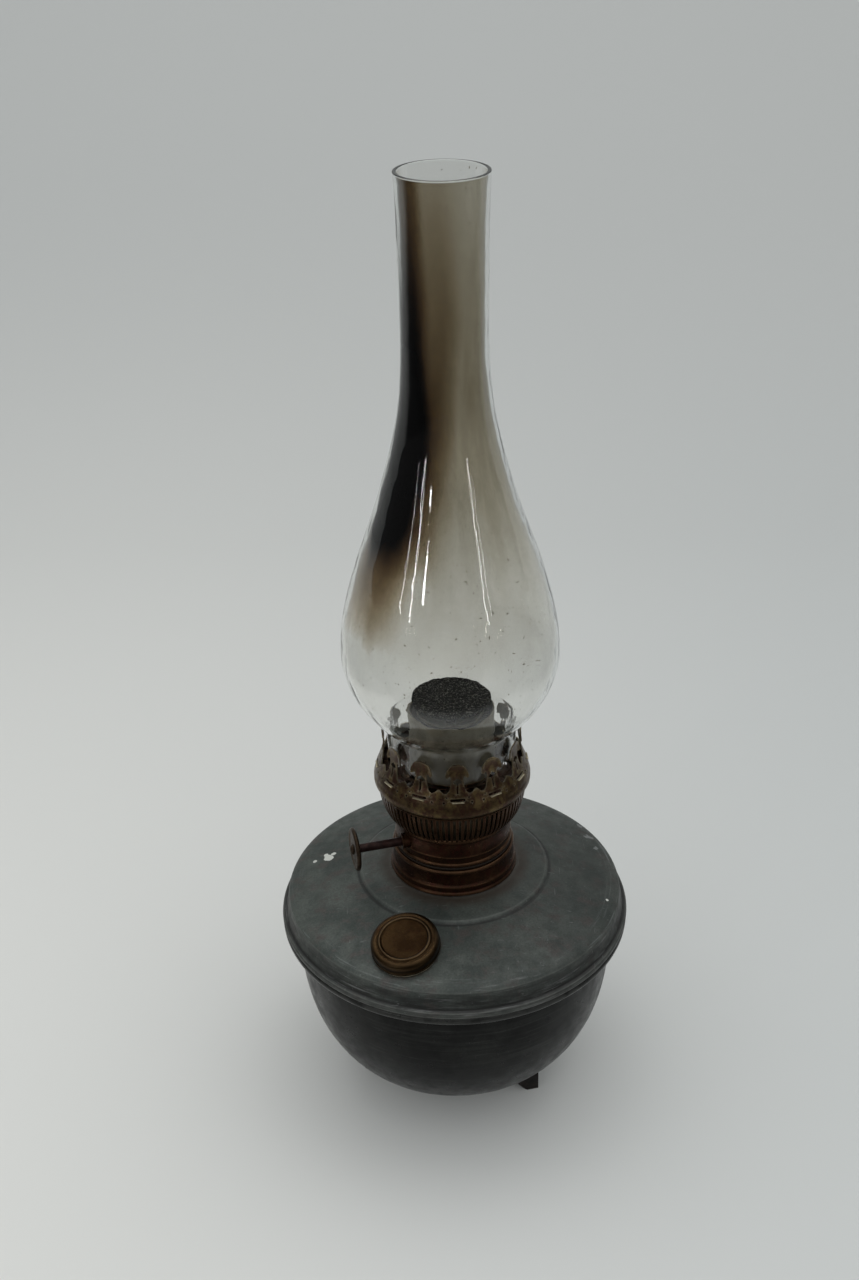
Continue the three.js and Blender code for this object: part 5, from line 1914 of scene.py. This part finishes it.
@dataclass
class Studio:
    """The pale paper the lamp stands on, the soft light and the camera.

    The camera's place, lens and tilt were solved from the lamp's rings in the photograph
    of 859 by 1280 pixels. A pair of numbers says where a tone starts and ends, in metres.
    """

    image_height: float = 1280.0
    focal_pixels: float = 1605.17
    camera_back: float = 0.61078
    camera_height: float = 0.57951
    pitch: float = 29.05
    yaw: float = -0.83
    roll: float = -1.39
    sensor: float = 36.0
    paper_reach: float = 3.0
    paper_back: float = 1.5
    paper_bend: float = 0.9
    paper_left_lit: Colour = (0.775, 0.775, 0.745)
    paper_right_shaded: Colour = (0.585, 0.605, 0.60)
    paper_far_shaded: Colour = (0.487, 0.497, 0.488)
    left_to_right: Point = (-0.35, 0.45)
    near_to_far: Point = (-0.3, 1.4)
    mirrored_front: Point = (-0.14, -0.34)
    mirrored_sides: Point = (0.30, 0.48)
    sides_end: Point = (0.6, 0.1)
    room_floor: Colour = (0.06, 0.06, 0.06)
    room_tint: Colour = (0.97, 0.99, 1.0)
    room_level: float = 0.79
    room_mirrored: float = 0.12
    room_dark_below: float = 0.35
    room_light_above: float = 0.85

    def lights(self) -> tuple[SoftLight, ...]:
        """The soft box overhead, and the narrow lights that the glass mirrors.

        Returns:
            The lights.
        """
        return (
            SoftLight("overhead_softbox", 82.0, 76.0, (1.8, 1.4), 7.8, 1.5),
            SoftLight("left_tube", -133.5, 9.0, (0.018, 0.36), 0.7),
            SoftLight("left_far_tube", -147.0, 8.0, (0.012, 0.29), 0.17),
            SoftLight("left_small_tube", -119.5, 9.8, (0.032, 0.09), 0.5),
            SoftLight("right_tube", -48.5, 8.9, (0.016, 0.33), 0.36),
            SoftLight("right_small_tube", -43.0, 8.5, (0.010, 0.20), 0.08),
        )

    def camera(self) -> None:
        """Sets up the camera that matches the photograph."""
        pitch, yaw, roll = (math.radians(a) for a in (self.pitch, self.yaw, self.roll))
        ahead = math.cos(pitch)
        forward = Vector((math.sin(yaw) * ahead, math.cos(yaw) * ahead, -math.sin(pitch)))
        level = Vector((math.cos(yaw), -math.sin(yaw), 0.0))
        up = level.cross(forward)
        right = level * math.cos(roll) + up * math.sin(roll)
        top = up * math.cos(roll) - level * math.sin(roll)
        data = bpy.data.cameras.new("photo_camera")
        data.sensor_width = self.sensor
        data.lens = self.focal_pixels * self.sensor / self.image_height
        camera = bpy.data.objects.new("photo_camera", data)
        basis = Matrix((right, top, -forward)).transposed().to_4x4()
        camera.matrix_world = Matrix.Translation((0.0, -self.camera_back, self.camera_height)) @ basis
        bpy.context.scene.collection.objects.link(camera)
        bpy.context.scene.camera = camera

    def sweep(self) -> BMesh:
        """The paper's shape: a floor that curves up into the backdrop.

        Returns:
            An open mesh.
        """
        mesh = bmesh.new()
        reach, back = self.paper_reach, self.paper_back
        corners = ((-reach, -reach, 0.0), (-reach, back, 0.0), (-reach, back, reach))
        side = [mesh.verts.new(corner) for corner in corners]
        for pair in zip(side, side[1:]):
            mesh.edges.new(pair)
        bmesh.ops.bevel(mesh, geom=[side[1]], offset=self.paper_bend, offset_type="OFFSET", segments=24,
                        profile=0.5, affect="VERTICES", material=-1, clamp_overlap=True)
        wide = bmesh.ops.extrude_edge_only(mesh, edges=mesh.edges[:])
        moved = [part for part in wide["geom"] if isinstance(part, BMVert)]
        bmesh.ops.translate(mesh, vec=(2 * reach, 0.0, 0.0), verts=moved)
        bmesh.ops.recalc_face_normals(mesh, faces=mesh.faces)
        for face in mesh.faces:
            face.smooth = True
        return mesh

    def paper(self) -> None:
        """The paper, lighter on the left and darker far back as painted light and shade, which the metal
        mirrors as dark where a real room would be.
        """
        paper = to_object("paper_sweep", self.sweep())
        recipe = Recipe("paper")
        x, y, z = recipe.split(recipe.place)
        # Painted light and shade: the paper is lighter on the left and darker towards the back.
        across = recipe.step(x, *self.left_to_right)
        tone = recipe.blend(across, self.paper_left_lit, self.paper_right_shaded)
        away = recipe.step(recipe.plus(y, recipe.times(z, 1.2)), *self.near_to_far)
        tone = recipe.blend(away, tone, self.paper_far_shaded)
        beside = recipe.step(recipe.calc("ABSOLUTE", x), *self.mirrored_sides)
        aside = recipe.times(beside, recipe.step(y, *self.sides_end))
        off_paper = recipe.calc("MAXIMUM", recipe.step(y, *self.mirrored_front), aside)
        mirrored = recipe.output("ShaderNodeLightPath", "Is Glossy Ray")
        tone = recipe.blend(recipe.times(off_paper, mirrored), tone, self.room_floor)
        recipe.set(Base_Color=tone, Roughness=0.9, Specular_IOR_Level=0.2)
        paper.data.materials.append(recipe.material)

    def room(self) -> None:
        """Sets up soft light from all round, which mirrors as a dark room in front of the lamp."""
        world = bpy.data.worlds.new("studio")
        bpy.context.scene.world = world
        world.use_nodes = True
        nodes = Nodes(world.node_tree)
        _, _, up = nodes.split(nodes.output("ShaderNodeTexCoord", "Generated"))
        height = nodes.step(up, self.room_dark_below, self.room_light_above, self.room_mirrored)
        not_mirrored = nodes.minus(1.0, nodes.output("ShaderNodeLightPath", "Is Glossy Ray"))
        strength = nodes.times(nodes.calc("MAXIMUM", height, not_mirrored), self.room_level)
        nodes.fill(world.node_tree.nodes["Background"], Color=self.room_tint, Strength=strength)

    def build(self) -> None:
        """Sets up the room, the paper, the lights and the camera."""
        self.room()
        self.paper()
        for light in self.lights():
            light.build()
        self.camera()
        bpy.context.scene.view_settings.view_transform = "Standard"


def main() -> None:
    """Loads the frame, builds every sub-assembly and the studio."""
    logging.basicConfig(level=logging.INFO, format="%(name)s: %(message)s")
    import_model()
    lamp = (Font(), Filler(), BurnerBase(), WickRaiser(), Gallery(), WickTubes(), Chimney())
    for assembly in (*lamp, Studio()):
        LOG.info("building %s", type(assembly).__name__)
        assembly.build()


if __name__ == "__main__":
    main()
